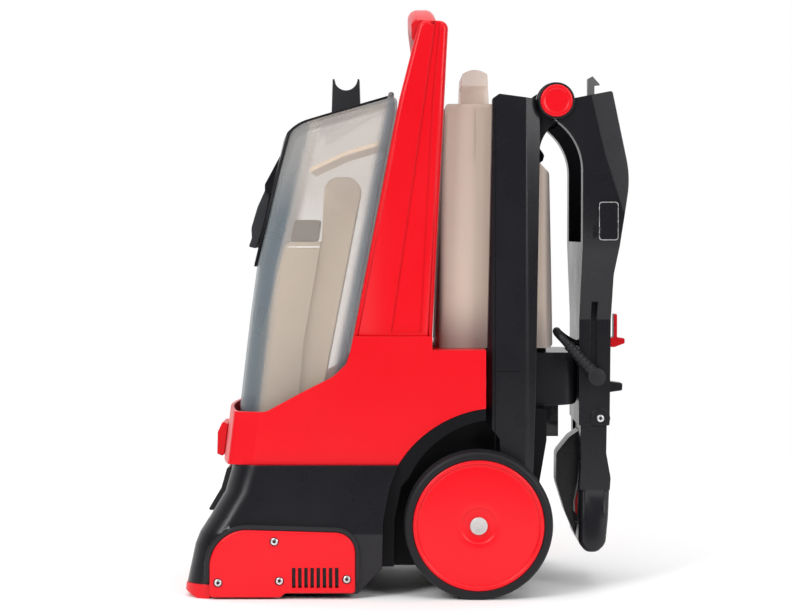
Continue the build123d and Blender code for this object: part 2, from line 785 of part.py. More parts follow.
def clean_form(inset):
    # Side outline carried across, with the upright corners rounded in plan.
    half = clean_half_width - inset
    length = clean_rear_x - clean_front_x
    form = side_solid(clean_outline(inset), -half, half, [6, 5, 8, 6, 8, 2, 2])
    plan = RectangleRounded(length - 2 * inset, 2 * half, clean_corner - inset)
    plan_centre = Pos((clean_rear_x + clean_front_x) / 2, 0, clean_floor_z - 10)
    return form & extrude(plan_centre * plan, amount=grip_top_z - clean_floor_z, dir=(0, 0, 1))


clean_tank = clean_form(0)
clean_hollow = clean_form(tank_wall)
grip_x = 79.5
grip_low_z = clean_top_z - 1
grip_solid = front_solid(
    [
        (-grip_half_width, grip_low_z),
        (-grip_half_width + 10, grip_top_z),
        (grip_half_width - 10, grip_top_z),
        (grip_half_width, grip_low_z),
    ],
    grip_x - grip_depth / 2,
    grip_x + grip_depth / 2,
)
grip_dome = [
    (grip_x - grip_depth / 2, grip_low_z),
    (grip_x - grip_depth / 2 + 1.5, grip_top_z - 6.5),
    (grip_x, grip_top_z + 1),
    (grip_x + grip_depth / 2 - 1.5, grip_top_z - 6.5),
    (grip_x + grip_depth / 2, grip_low_z),
]
grip_solid = grip_solid & side_solid(grip_dome, -grip_half_width, grip_half_width, [0, 4, 22, 4, 0])
finger_half = grip_half_width - 28
grip_solid -= block(0, 200, -finger_half, finger_half, clean_top_z, grip_top_z - 20)
slope_run = Vector(shoulder_low[0] - 10 - shoulder_x, 0, shoulder_low[1] + 10 - clean_top_z)
slope_normal = Vector(-slope_run.Z, 0, slope_run.X).normalized()
cap_seat = Vector(shoulder_x, 0, clean_top_z) + slope_run * 0.76
cap_plane = Plane(origin=cap_seat, z_dir=slope_normal, x_dir=(0, 1, 0))
neck_radius = fill_cap_radius - 5
neck = cap_plane * Pos(0, 0, 4) * Cylinder(neck_radius, 14)
clean_tank += neck
clean_tank -= clean_hollow
clean_tank += grip_solid
clean_tank -= cap_plane * Pos(0, 0, 0) * Cylinder(neck_radius - tank_wall, 40)
side_rib = block(76.2, 78.2, clean_half_width - 1, clean_half_width + 1.2, 523, 584)
clean_tank += both_sides(side_rib)
valve_x = 100.0
valve_radius = 11.0
clean_tank -= post(valve_radius + 0.02, valve_x, 0, clean_floor_z - 5, clean_floor_z + 8)
save(clean_tank, "clean_tank")
fill_cap = cap_plane * Pos(0, 0, fill_cap_height / 2 + seat_gap) * Cylinder(fill_cap_radius, fill_cap_height)
cap_top = fill_cap.faces().sort_by(Axis(cap_seat, slope_normal))[-1]
fill_cap = fillet(cap_top.edges(), 4)
fill_cap -= cap_plane * Pos(0, 0, 5.75 - 1) * Cylinder(neck_radius + running_fit, 13.5)
save(fill_cap, "fill_cap")
outlet_valve = post(valve_radius, valve_x, 0, clean_floor_z, clean_floor_z + 22)
save(outlet_valve, "outlet_valve")

# Columns that carry the handle pivots
column_profile = [
    (column_front_x + 4, 596),
    (column_front_x + 12, 601.5),
    (column_rear_x + 2.5, 595),
    (column_rear_x + 3.5, 545),
    (column_rear_x - 1, 234),
    (column_rear_x - 6, column_foot_z),
    (column_front_x + 17, column_foot_z),
    (column_front_x + 13, 188),
    (column_front_x - 3, 208),
]
column = side_solid(column_profile, column_inner, column_outer, [2, 3, 0, 30, 30, 2, 2, 4, 4])
front_cut = [(0, 0), (7, 0), (0, -9)]
rear_cut = [(0, 0), (-17, 0), (0, -7)]
for cut_x, corners in ((column_front_x - 3, front_cut), (column_rear_x + 3.5, rear_cut)):
    wedge = Polyline(*[(cut_x + dx, column_outer + dy, 0) for dx, dy in corners], close=True)
    column -= extrude(make_face(wedge), amount=700, dir=(0, 0, 1))
column -= disc(eye_radius + 4, pivot_x, pivot_z, lap_y, 200)
lug = disc(lug_radius, pivot_x, pivot_z, column_inner, lap_y)
lug += side_solid(
    [
        (column_rear_x - 1, pivot_z - 3),
        (pivot_x - 15, pivot_z + 15),
        (pivot_x - 1, pivot_z - lug_radius + 0.3),
        (pivot_x - 18, 546),
        (column_rear_x, 505),
    ],
    column_inner,
    lap_y,
    [0, 0, 0, 45, 0],
)
column += lug
column -= disc(pivot_pin_radius + 0.02, pivot_x, pivot_z, column_inner, 200)
save(column, "column_right")
save(mirrored(column), "column_left")
pin_end = eye_face - 11.0
pivot_pin = disc(pivot_pin_radius, pivot_x, pivot_z, column_inner, pin_end)
save(Compound(children=[pivot_pin, mirrored(pivot_pin)]), "pivot_pins")

# Rear housing for the pump, with the mains inlet on its right side
housing_rear_x = 206.0
housing_half = 66.0
housing_low_z = fairing_top_z
housing_top_z = 289.0
housing_profile = [
    (tub_rear_x, housing_low_z),
    (tub_rear_x, housing_top_z),
    (housing_rear_x, housing_top_z),
    (housing_rear_x, housing_low_z + 4),
]
rear_housing = side_solid(housing_profile, -housing_half, housing_half, [0, 0, 2, 7])
rear_plan = RectangleRounded(2 * housing_rear_x, 2 * housing_half, 18)
rear_housing = rear_housing & extrude(rear_plan, amount=400, dir=(0, 0, 1))
rear_housing -= block(
    tub_rear_x - 5,
    housing_rear_x - 19,
    -housing_half + wall,
    housing_half - wall,
    housing_low_z + wall,
    housing_top_z - wall,
)
rear_housing += block(tub_rear_x, clean_rear_x - 6, -48, 48, housing_top_z, shelf_z)
rear_housing += block(fairing_x, fairing_x + 18, -40, 40, housing_low_z - 38, housing_low_z + wall)
inlet_low_x = tub_rear_x + 8
inlet_z = 258.0
inlet_width = 26.0
inlet_height = 20.0
rear_housing -= block(
    inlet_low_x, inlet_low_x + inlet_width, housing_half - wall, housing_half, inlet_z, inlet_z + inlet_height
)
save(rear_housing, "rear_housing")
inlet_rim = 2.5
mains_inlet = block(
    inlet_low_x,
    inlet_low_x + inlet_width,
    housing_half - 14,
    housing_half + 1,
    inlet_z,
    inlet_z + inlet_height,
)
mains_inlet -= block(
    inlet_low_x + inlet_rim,
    inlet_low_x + inlet_width - inlet_rim,
    housing_half - 12,
    housing_half + 1,
    inlet_z + inlet_rim,
    inlet_z + inlet_height - inlet_rim,
)
for blade in (-1, 0, 1):
    blade_x = inlet_low_x + inlet_width / 2 + 6.5 * blade
    blade_z = inlet_z + inlet_height / 2 + (2.5 if blade == 0 else -1)
    mains_inlet += Pos(blade_x, housing_half - 8, blade_z) * Box(1.6, 10, 4.4)
save(mains_inlet, "mains_inlet")
pump_floor_z = housing_low_z + wall
pump_x = tub_rear_x + 17
pump = disc(15, pump_x, pump_floor_z + 22, -45, 25)
pump += block(pump_x - 14, pump_x + 14, -30, 10, pump_floor_z, pump_floor_z + 20)
save(pump, "pump")

# Release latch on the front of the collar; it slides up along the leaning rim
latch_slope = 8 / (collar_rim_z - deck_z)
release_profile = [
    (collar_front_x - seat_gap + latch_slope * 2, deck_z + 2),
    (collar_front_x - seat_gap + latch_slope * 40, deck_z + 40),
    (collar_front_x - 2, deck_z + 43),
    (collar_front_x - 8, deck_z + 30),
    (collar_front_x - 8.7, deck_z + 3),
    (collar_front_x - 2.5, deck_z + 0.5),
]
release_latch = side_solid(release_profile, -28, 28, [0, 0, 3, 4, 2, 0])
save(release_latch, "release_latch")

# Vacuum motor on the chassis deck, with its fan
motor_x = 44.0
vacuum_motor = post(motor_radius, motor_x, 0, motor_deck_z, motor_deck_z + motor_height)
vacuum_motor = fillet(vacuum_motor.faces().sort_by(Axis.Z)[-1].edges(), 8)
shaft_top_z = motor_deck_z + motor_height + 28
vacuum_motor += post(shaft_radius, motor_x, 0, motor_deck_z + motor_height - 1, shaft_top_z)
save(vacuum_motor, "vacuum_motor")
fan_low_z = motor_deck_z + motor_height + 3
suction_fan = post(fan_radius, motor_x, 0, fan_low_z, fan_low_z + 3)
for blade in range(9):
    blade_solid = Pos(28, 0, 0) * Rot(0, 0, 25) * Box(34, 2, 12)
    suction_fan += Pos(motor_x, 0, fan_low_z + 8) * Rot(0, 0, 40 * blade) * blade_solid
suction_fan += post(shaft_radius + 5, motor_x, 0, fan_low_z, fan_low_z + 16)
suction_fan -= post(shaft_radius + running_fit, motor_x, 0, fan_low_z - 1, fan_low_z + 40)
save(suction_fan, "suction_fan")

# Brush drive: motor under the deck, belt on the left side, brush roll across the base
shaft_end = base_half_width - 1
pulley_low = base_half_width - 21
pulley_high = base_half_width - 9
deck_under_z = deck_z - wall
brush_half_length = pulley_low - brush_end_gap
brush_motor = disc(drive_motor_radius, drive_motor_x, drive_motor_z, -60, 60)
brush_motor += block(drive_motor_x - 18, drive_motor_x + 18, -40, 40, drive_motor_z + 10, deck_under_z)
brush_motor += disc(shaft_radius, drive_motor_x, drive_motor_z, -pulley_high + 0.5, -55)
save(brush_motor, "brush_motor")
motor_pulley = disc(motor_pulley_radius, drive_motor_x, drive_motor_z, -pulley_high, -pulley_low)
motor_pulley -= disc(shaft_radius + running_fit, drive_motor_x, drive_motor_z, -pulley_high, -pulley_low)
save(motor_pulley, "motor_pulley")
brush_roll = disc(brush_core_radius, brush_x, brush_z, -brush_half_length, brush_half_length)
brush_roll += disc(shaft_radius, brush_x, brush_z, -shaft_end, shaft_end)
tuft_rows = 4
tufts_a_row = 18
tuft_pitch = 2 * (brush_half_length - 8) / (tufts_a_row - 1)
tuft_length = brush_radius - brush_core_radius + 2
tufts = []
for row in range(tuft_rows):
    for place in range(tufts_a_row):
        turn = 360 * row / tuft_rows + 90 * place / tufts_a_row
        tuft_y = -brush_half_length + 8 + place * tuft_pitch
        tuft = Pos(0, 0, brush_core_radius - 2 + tuft_length / 2) * Box(4, 5, tuft_length)
        tufts.append(Pos(brush_x, tuft_y, brush_z) * Rot(0, turn, 0) * tuft)
brush_roll = brush_roll.fuse(*tufts)
save(brush_roll, "brush_roll")
brush_pulley = disc(brush_pulley_radius, brush_x, brush_z, -pulley_high, -pulley_low)
brush_pulley -= disc(shaft_radius + 0.02, brush_x, brush_z, -pulley_high, -pulley_low)
save(brush_pulley, "brush_pulley")


def belt_solid(gap):
    # The hull of two circles around the pulleys, drawn flat and then stood up in the X-Z plane.
    around_brush = Pos(brush_x, brush_z) * Circle(brush_pulley_radius + gap)
    around_motor = Pos(drive_motor_x, drive_motor_z) * Circle(motor_pulley_radius + gap)
    outline = make_hull(around_brush.edges() + around_motor.edges())
    belt_plane = Plane(origin=(0, -pulley_low - 2, 0), x_dir=(1, 0, 0), z_dir=(0, -1, 0))
    return belt_plane * extrude(outline, amount=belt_width)


belt_width = 8.0
drive_belt = belt_solid(seat_gap + belt_thickness) - belt_solid(seat_gap)
save(drive_belt, "drive_belt")

# Spray bar across the base, behind the front
spray_x = -reach + 56
spray_z = 60.0
spray_half = base_half_width - wall
spray_bar = disc(5, spray_x, spray_z, -spray_half, spray_half)
for spray_y in (-90, 0, 90):
    spray_bar += Pos(spray_x, spray_y, spray_z - 9) * Cone(2, 4, 12)
save(spray_bar, "spray_bar")

# Folding handle: two arms with eyes at the pivots, running in to a narrow neck
arm_top_front = (pivot_x + 2, pivot_z - 0.5)
arm_top_rear = (242.3, 605.2)
arm_points = [
    arm_top_front,
    arm_top_rear,
    (arm_bulge_x, 502),
    (246, 385),
    (arm_foot_x, arm_end_z),
    (arm_inner_x, arm_end_z),
    (arm_inner_x, 545),
    (pivot_x - 2, pivot_z - eye_radius),
]
arm_radii = [0, 3, 120, 60, 2, 2, 72, 0]
outer_band = [
    (column_inner, 640),
    (column_outer, 640),
    (column_outer, knee_upper_z),
    (grip_outer, knee_lower_z),
    (grip_outer, arm_end_z - 20),
    (grip_inner, arm_end_z - 20),
    (grip_inner, knee_lower_z),
    (column_inner, knee_upper_z),
]
handle_arm = side_solid(arm_points, 0, 140, arm_radii) & front_solid(outer_band, 100, 300)
arm_ridge = [(216, 603), (233, 530), (250, 478)]
facet_slope = 5 / 30


def beyond_facet(low, high):
    # The space outside a facet that falls away behind a ridge line on the arm's outer face.
    ridge = Vector(high[0] - low[0], 0, high[1] - low[1])
    away = Vector(1, -facet_slope, 0)
    outward = away.cross(ridge).normalized()
    outward = outward if outward.Y > 0 else outward * -1
    facet_plane = Plane(origin=(low[0], column_outer, low[1]), x_dir=ridge, z_dir=outward)
    return facet_plane * Pos(0, 0, 50) * Box(600, 600, 100)


handle_arm -= beyond_facet(arm_ridge[1], arm_ridge[0]) & beyond_facet(arm_ridge[2], arm_ridge[1])
handle_arm -= block(221, 228.5, grip_outer - 3, column_outer, 275, 352)
handle_arm -= disc(lug_radius + 3, pivot_x, pivot_z, 80, lap_y + lap_gap)
handle_arm += disc(eye_radius, pivot_x, pivot_z, lap_y + lap_gap, eye_face)
pocket_floor = eye_face - 10.5
handle_arm -= disc(button_radius + running_fit, pivot_x, pivot_z, pocket_floor, eye_face + 5)
handle_arm -= disc(pivot_pin_radius + running_fit, pivot_x, pivot_z, 80, pocket_floor + 1)
tang_x = 230.0
tang_depth = 18.0
tang_y = (grip_inner + grip_outer) / 2
tang_width = 14.0
tang_top_z = arm_end_z + 22
tang_gap = 0.2
handle_arm -= block(
    tang_x - tang_depth / 2 - tang_gap,
    tang_x + tang_depth / 2 + tang_gap,
    tang_y - tang_width / 2 - tang_gap,
    tang_y + tang_width / 2 + tang_gap,
    arm_end_z - 1,
    tang_top_z + tang_gap,
)
arm_screw_x = 233.0
arm_screw_z = arm_end_z + 9
arm_boss_face = grip_outer + 1.5
arm_boss = disc(12, arm_screw_x, arm_screw_z, grip_outer - 1, arm_boss_face)
handle_arm += arm_boss - block(200, 260, 0, 120, arm_end_z - 20, arm_end_z)
handle_arm -= disc(screw_shank_radius, arm_screw_x, arm_screw_z, tang_y, 120)
save(handle_arm, "handle_arm_right")
save(mirrored(handle_arm), "handle_arm_left")

button_low = eye_face + 2.0 - button_height
pivot_button = disc(button_radius, pivot_x, pivot_z, button_low, button_low + button_height)
pivot_button = fillet(pivot_button.faces().sort_by(Axis.Y)[-1].edges(), 2)
save(pivot_button, "pivot_button_right")
save(mirrored(pivot_button), "pivot_button_left")

between_arms = [
    (-column_inner, 640),
    (column_inner, 640),
    (column_inner, knee_upper_z),
    (grip_inner, knee_lower_z),
    (grip_inner, arm_end_z - 20),
    (-grip_inner, arm_end_z - 20),
    (-grip_inner, knee_lower_z),
    (-column_inner, knee_upper_z),
]
arm_side = side_face(arm_points, -150, arm_radii)
back_band = extrude(arm_side, amount=300, dir=(0, 1, 0))
back_band -= extrude(offset(arm_side, amount=-back_thickness), amount=300, dir=(0, 1, 0))
back_span = block(arm_foot_x - back_thickness - 0.5, 300, -150, 150, arm_end_z, 601)
handle_back = back_band & back_span & front_solid(between_arms, 100, 300)
rail_x = 214.0
rail_z = 596.0
rail_slope = 4.8 / (arm_top_rear[0] - 1 - rail_x)


def rail_top(x):
    return rail_z + rail_slope * (x - rail_x)


rail_end_x = arm_top_rear[0] - 1
rail = [(rail_x, rail_z - 6), (rail_end_x, rail_top(rail_end_x) - 6)]
rail += [(rail_end_x, rail_top(rail_end_x)), (rail_x, rail_z)]
handle_back += side_solid(rail, -column_inner, column_inner)
hook_z = 299.0
spigot_radius = 5.0
handle_back -= Pos(arm_foot_x, 0, hook_z) * Rot(0, 90, 0) * Cylinder(spigot_radius + running_fit, 30)
save(handle_back, "handle_back")

inner_cover = block(arm_inner_x, arm_inner_x + inner_cover_thickness, -120, 120, arm_end_z, inner_cover_top_z)
inner_cover = inner_cover & front_solid(between_arms, 100, 300)
save(inner_cover, "handle_inner_cover")

tongue_x = 222.5
tongue_width = 8.0
tongue = [
    (tongue_x, rail_top(tongue_x)),
    (tongue_x, 627),
    (tongue_x + 5.5, 630),
    (tongue_x + 15, 619.5),
    (tongue_x + tongue_width, 619),
    (tongue_x + tongue_width, rail_top(tongue_x + tongue_width)),
]
save(side_solid(tongue, -9, 9), "lock_tongue")

plate_width = 24.0
plate_height = 45.0
plate_low = (225.0, 427.0)
plate_corners = [
    plate_low,
    (plate_low[0] + 2, plate_low[1] + plate_height),
    (plate_low[0] + plate_width, plate_low[1] + plate_height),
    (plate_low[0] + plate_width, plate_low[1]),
]
arm_plate = side_solid(plate_corners, column_outer, column_outer + 2.5, 4)
arm_plate = fillet(arm_plate.faces().sort_by(Axis.Y)[-1].edges(), 1)
tab = [(plate_low[0] - 5.5, 428), (plate_low[0] - 4.5, 444), (plate_low[0] + 3, 444), (plate_low[0] + 3, 432)]
arm_plate += side_solid(tab, column_outer, column_outer + 1.5)
save(Compound(children=[arm_plate, mirrored(arm_plate)]), "arm_plates")

# Grip: legs with tangs in the arms, joined by a cross piece that carries the trigger
leg_profile = [
    (arm_inner_x + 2, arm_end_z),
    (arm_foot_x - 3.5, arm_end_z),
    (arm_foot_x - 4, 166),
    (arm_foot_x + 1.5, 136),
    (arm_foot_x + 0.5, grip_seam_z),
    (arm_inner_x + 1, grip_seam_z),
    (arm_inner_x + 2.5, 152),
]
grip_leg = side_solid(leg_profile, grip_inner, grip_outer, [0, 0, 20, 14, 0, 0, 20])
tang_solid = block(
    tang_x - tang_depth / 2,
    tang_x + tang_depth / 2,
    tang_y - tang_width / 2,
    tang_y + tang_width / 2,
    arm_end_z - 1,
    tang_top_z,
)
tang_solid -= disc(screw_shank_radius, arm_screw_x, arm_screw_z, 0, 120)
grip_leg += tang_solid
cross_low_z = 176.0
cross_high_z = 196.0
grip_frame = both_sides(grip_leg)
grip_frame += block(212, 236, -grip_inner, grip_inner, cross_low_z, cross_high_z)
trigger_pin_x = 224.0
trigger_pin_z = 168.0
trigger_pin_radius = 2.5
ear_low = trigger_half_width + ear_gap
for side in (-1, 1):
    ear_y = min(side * ear_low, side * (ear_low + 6))
    ear_low_z = trigger_pin_z - 7
    grip_frame += block(trigger_pin_x - 7, trigger_pin_x + 7, ear_y, ear_y + 6, ear_low_z, cross_low_z + 1)
grip_frame += disc(trigger_pin_radius, trigger_pin_x, trigger_pin_z, -ear_low - 6, ear_low + 6)
save(grip_frame, "grip_frame")

bar_profile = [
    (arm_inner_x + 1, grip_seam_z),
    (arm_foot_x + 0.5, grip_seam_z),
    (arm_foot_x - 1, 86),
    (arm_foot_x - 4, grip_foot_z + 10),
    (arm_foot_x - 14, grip_foot_z),
    (arm_inner_x + 9, grip_foot_z),
    (arm_inner_x, grip_foot_z + 12),
    (arm_inner_x, 88),
]
grip_bar = side_solid(bar_profile, -grip_outer, grip_outer, [0, 0, 0, 16, 12, 12, 14, 0])
end_edges = [e for e in grip_bar.edges() if abs(e.center().Y) > grip_outer - 0.1]
grip_bar = fillet([e for e in end_edges if e.center().Z < grip_seam_z - 3], 7)
loop_top = grip_foot_z + grip_bar_height
grip_bar -= block(150, 300, -grip_inner, grip_inner, loop_top, grip_seam_z + 1)
save(grip_bar, "grip_bar")

guard_profile = [
    (212, 190),
    (199, 181),
    (183, 161),
    (183, 124),
    (194, 88),
    (arm_inner_x, 58),
    (arm_inner_x, 74),
    (205, 84),
    (204.5, 101),
    (210, 127),
    (212, 150),
]
guard_half = 22.0
trigger_guard = side_solid(guard_profile, -guard_half, guard_half, [0, 10, 14, 30, 40, 0, 0, 4, 8, 10, 0])
save(trigger_guard, "trigger_guard")

trigger_profile = [
    (trigger_pin_x - 5, trigger_pin_z + 3),
    (trigger_pin_x + 5, trigger_pin_z + 3),
    (trigger_pin_x + 2, 126),
    (219, 96),
    (215, 82),
    (207.5, 84),
    (207, 100),
    (213, 126),
]
trigger = side_solid(trigger_profile, -trigger_half_width, trigger_half_width, [3, 3, 20, 12, 3, 3, 8, 20])
trigger -= disc(trigger_pin_radius + running_fit, trigger_pin_x, trigger_pin_z, -40, 40)
save(trigger, "trigger")

arm_screw = disc(screw_head_radius, arm_screw_x, arm_screw_z, arm_boss_face, arm_boss_face + 2.6)
arm_screw = fillet(arm_screw.faces().sort_by(Axis.Y)[-1].edges(), 1)
arm_screw += disc(screw_shank_radius, arm_screw_x, arm_screw_z, tang_y + 1, arm_boss_face)
save(Compound(children=[arm_screw, mirrored(arm_screw)]), "handle_screws")

# Hooks on the back of the handle: a fixed peg and a turning hook
peg_low_z = 235.5
peg_seat = arm_foot_x + 0.5
peg_profile = [
    (peg_seat - 0.9, peg_low_z + 15),
    (peg_seat + 21.5, peg_low_z + 12),
    (peg_seat + 21, peg_low_z + 3),
    (peg_seat - 0.9, peg_low_z),
]
cord_peg = side_solid(peg_profile, -11, 11, [0, 2, 2, 0]) - extrude(arm_side, amount=300, dir=(0, 1, 0))
save(cord_peg, "cord_peg")
hook_seat_x = arm_foot_x + 2
hook_tip_x = arm_foot_x + hook_length
hook_profile = [
    (hook_seat_x, hook_z - 5.5),
    (hook_seat_x, hook_z + 5.5),
    (hook_tip_x - 13.5, hook_z + 5.5),
    (hook_tip_x - 13.5, hook_z + 35),
    (hook_tip_x - 9.5, hook_z + 35),
    (hook_tip_x - 9.5, hook_z + 5.5),
    (hook_tip_x, hook_z + 4.5),
    (hook_tip_x, hook_z - 1.5),
    (hook_tip_x - 13, hook_z - 6.5),
]
cord_hook = side_solid(hook_profile, -11, 11, [1, 1, 2, 1.5, 1.5, 2, 1.5, 1.5, 2])
spigot_start = arm_foot_x - back_thickness - 3
spigot = Pos((spigot_start + hook_seat_x + 1) / 2, 0, hook_z) * Rot(0, 90, 0)
cord_hook += spigot * Cylinder(spigot_radius, hook_seat_x + 1 - spigot_start)
save(cord_hook, "cord_hook")

# Handle lead: from the relief on the left arm, round a loop and back into the inner cover
boss_x = 227.0
boss_z = 260.5
boss_radius = 11.0
boss_depth = 18.0
relief_y = -grip_outer - boss_depth + 8.5
relief_way = Vector(-0.66, 0, 0.75).normalized()
relief_end_radius = lead_radius + 1.3
lead_gland = disc(boss_radius, boss_x, boss_z, -grip_outer - boss_depth, -grip_outer)
relief_plane = Plane(origin=(boss_x, relief_y, boss_z), z_dir=relief_way, x_dir=(0, 1, 0))
lead_gland += relief_plane * Pos(0, 0, relief_length / 2) * Cone(8.5, relief_end_radius, relief_length)
lead_start = Vector(boss_x, relief_y, boss_z) + relief_way * relief_length
save(lead_gland, "lead_gland")
lead_points = [
    lead_start,
    lead_start + relief_way * 9,
    Vector(180.5, relief_y + 8, 313),
    Vector(180, -62, 315.5),
    Vector(182, -50, 313),
    Vector(189, -41, 307),
    Vector(199, -37, 300.5),
    Vector(arm_inner_x + 4, -36, 296),
]
lead_radii = []
for before, corner, after in zip(lead_points, lead_points[1:], lead_points[2:]):
    run_in = corner - before
    run_out = after - corner
    turn = math.radians(run_in.get_angle(run_out))
    lead_radii.append(0.45 * min(run_in.length, run_out.length) / math.tan(turn / 2))
lead_path = FilletPolyline(*lead_points, radius=lead_radii)
lead_plane = Plane(origin=lead_path @ 0, z_dir=lead_path % 0)
handle_lead = sweep(lead_plane * Circle(lead_radius), path=lead_path)
print("lead radii", [round(radius, 1) for radius in lead_radii])
print("lead volume", round(handle_lead.volume), "of", round(math.pi * lead_radius**2 * lead_path.length))
handle_lead -= block(arm_inner_x, arm_inner_x + 20, -120, 0, 260, 340)
save(handle_lead, "handle_lead")
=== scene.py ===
import json
import math

import bmesh
import bpy
import numpy as np
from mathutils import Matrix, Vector


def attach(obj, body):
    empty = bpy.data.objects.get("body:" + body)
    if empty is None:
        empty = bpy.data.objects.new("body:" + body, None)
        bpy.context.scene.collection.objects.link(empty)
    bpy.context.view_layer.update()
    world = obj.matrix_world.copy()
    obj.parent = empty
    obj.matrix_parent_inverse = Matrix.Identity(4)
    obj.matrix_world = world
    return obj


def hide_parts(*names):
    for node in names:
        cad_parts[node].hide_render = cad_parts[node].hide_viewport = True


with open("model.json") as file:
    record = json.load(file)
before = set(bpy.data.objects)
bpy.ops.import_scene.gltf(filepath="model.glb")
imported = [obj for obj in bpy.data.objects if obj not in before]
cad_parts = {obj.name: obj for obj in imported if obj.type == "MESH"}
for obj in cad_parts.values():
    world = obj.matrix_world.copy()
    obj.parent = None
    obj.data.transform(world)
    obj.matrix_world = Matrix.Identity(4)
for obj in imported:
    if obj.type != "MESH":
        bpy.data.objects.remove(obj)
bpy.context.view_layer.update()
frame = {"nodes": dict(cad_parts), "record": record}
nodes = frame["nodes"]
bodyOf = {n: b for b, members in frame["record"]["behaviour"]["bodies"].items() for n in members}
slotOf = {s["node"]: s["material_slot"] for s in frame["record"]["subparts"]}
scene = bpy.context.scene
print("frame loaded", len(nodes), "nodes")


# Camera: the photograph's place, level with the tanks and nearly straight on to the left side
view = {"place": (-0.0165, -2.72, 0.4377), "downTilt": 2.02, "sensor": 36, "lens": 98.74, "farthest": 50}
camera = bpy.data.objects.new("camera", bpy.data.cameras.new("camera"))
scene.collection.objects.link(camera)
camera.location = view["place"]
camera.rotation_euler = (math.radians(90 - view["downTilt"]), 0, 0)
camera.data.sensor_width = view["sensor"]
camera.data.lens = view["lens"]
camera.data.clip_end = view["farthest"]
scene.camera = camera


# Materials
noiseSpan = (0.3, 0.7)  # nearly all of a noise's values lie in it


def newMaterial(name):
    material = bpy.data.materials.new(name)
    material.use_nodes = True
    tree = material.node_tree
    shader = tree.nodes["Principled BSDF"]
    return material, tree, shader


def noiseOf(tree, scale, detail):
    place = tree.nodes.new("ShaderNodeTexCoord")
    noise = tree.nodes.new("ShaderNodeTexNoise")
    noise.inputs["Scale"].default_value = scale
    noise.inputs["Detail"].default_value = detail
    tree.links.new(place.outputs["Object"], noise.inputs["Vector"])
    return noise.outputs["Fac"]


def rampOf(tree, value, low, high, span=noiseSpan):
    ramp = tree.nodes.new("ShaderNodeValToRGB")
    start, stop = ramp.color_ramp.elements
    start.position, stop.position = span
    start.color = (*low, 1)
    stop.color = (*high, 1)
    tree.links.new(value, ramp.inputs["Fac"])
    return ramp.outputs["Color"]


def rangeOf(tree, value, low, high):
    span = tree.nodes.new("ShaderNodeMapRange")
    span.inputs["From Min"].default_value, span.inputs["From Max"].default_value = noiseSpan
    span.inputs["To Min"].default_value = low
    span.inputs["To Max"].default_value = high
    tree.links.new(value, span.inputs["Value"])
    return span.outputs["Result"]


def bumpOf(tree, shader, value, strength, distance, edge):
    bump = tree.nodes.new("ShaderNodeBump")
    bump.inputs["Strength"].default_value = strength
    bump.inputs["Distance"].default_value = distance
    tree.links.new(value, bump.inputs["Height"])
    if edge:
        bevel = tree.nodes.new("ShaderNodeBevel")
        bevel.samples = 4
        bevel.inputs["Radius"].default_value = edge
        tree.links.new(bevel.outputs["Normal"], bump.inputs["Normal"])
    tree.links.new(bump.outputs["Normal"], shader.inputs["Normal"])


# Noises of each kind of surface as (scale, detail)
plasticTexture = {"drift": (5, 2), "gloss": (14, 3), "grainDetail": 2, "grainHeight": 0.0003, "ior": 1.46}
metalTexture = {"streaks": (160, 4), "gloss": (300, 3), "grain": (1200, 2), "bump": 0.03,
                "grainHeight": 0.0002}
tankTexture = {"clouds": (9, 2), "cloudDensity": 0.12, "gloss": (10, 3), "waves": (16, 1), "bump": 0.06,
               "waveHeight": 0.0006, "ior": 1.4, "colourSpan": (0.05, 1.0)}


def mouldedPlastic(name, settings):
    # Moulded plastic: slow colour drift, patchy gloss, fine texture and softened edges
    material, tree, shader = newMaterial(name)
    low, high = settings["colours"]
    drift = noiseOf(tree, *plasticTexture["drift"])
    tree.links.new(rampOf(tree, drift, low, high), shader.inputs["Base Color"])
    gloss = noiseOf(tree, *plasticTexture["gloss"])
    tree.links.new(rangeOf(tree, gloss, *settings["roughness"]), shader.inputs["Roughness"])
    shader.inputs["Coat Weight"].default_value = settings["coat"]
    shader.inputs["Coat Roughness"].default_value = settings["coatRoughness"]
    shader.inputs["IOR"].default_value = plasticTexture["ior"]
    shader.inputs["Specular IOR Level"].default_value = settings["shine"]
    grain = noiseOf(tree, settings["grain"], plasticTexture["grainDetail"])
    bumpOf(tree, shader, grain, settings["bump"], plasticTexture["grainHeight"], settings["edge"])
    return material


def metal(name, settings):
    # Plated or cast metal: fine streaky brightness and roughness
    material, tree, shader = newMaterial(name)
    low, high = settings["colours"]
    streaks = noiseOf(tree, *metalTexture["streaks"])
    tree.links.new(rampOf(tree, streaks, low, high), shader.inputs["Base Color"])
    gloss = noiseOf(tree, *metalTexture["gloss"])
    tree.links.new(rangeOf(tree, gloss, *settings["roughness"]), shader.inputs["Roughness"])
    shader.inputs["Metallic"].default_value = 1
    grain = noiseOf(tree, *metalTexture["grain"])
    bumpOf(tree, shader, grain, metalTexture["bump"], metalTexture["grainHeight"], settings["edge"])
    return material


def bandOf(tree, value, start, stop):
    # 0 before start, 1 after stop, smooth between them
    band = tree.nodes.new("ShaderNodeMapRange")
    band.interpolation_type = "SMOOTHSTEP"
    band.inputs["From Min"].default_value = start
    band.inputs["From Max"].default_value = stop
    tree.links.new(value, band.inputs["Value"])
    return band.outputs["Result"]


def mathOf(tree, operation, first, second):
    step = tree.nodes.new("ShaderNodeMath")
    step.operation = operation
    for socket, value in zip(step.inputs, (first, second)):
        if isinstance(value, (int, float)):
            socket.default_value = value
        else:
            tree.links.new(value, socket)
    return step.outputs["Value"]


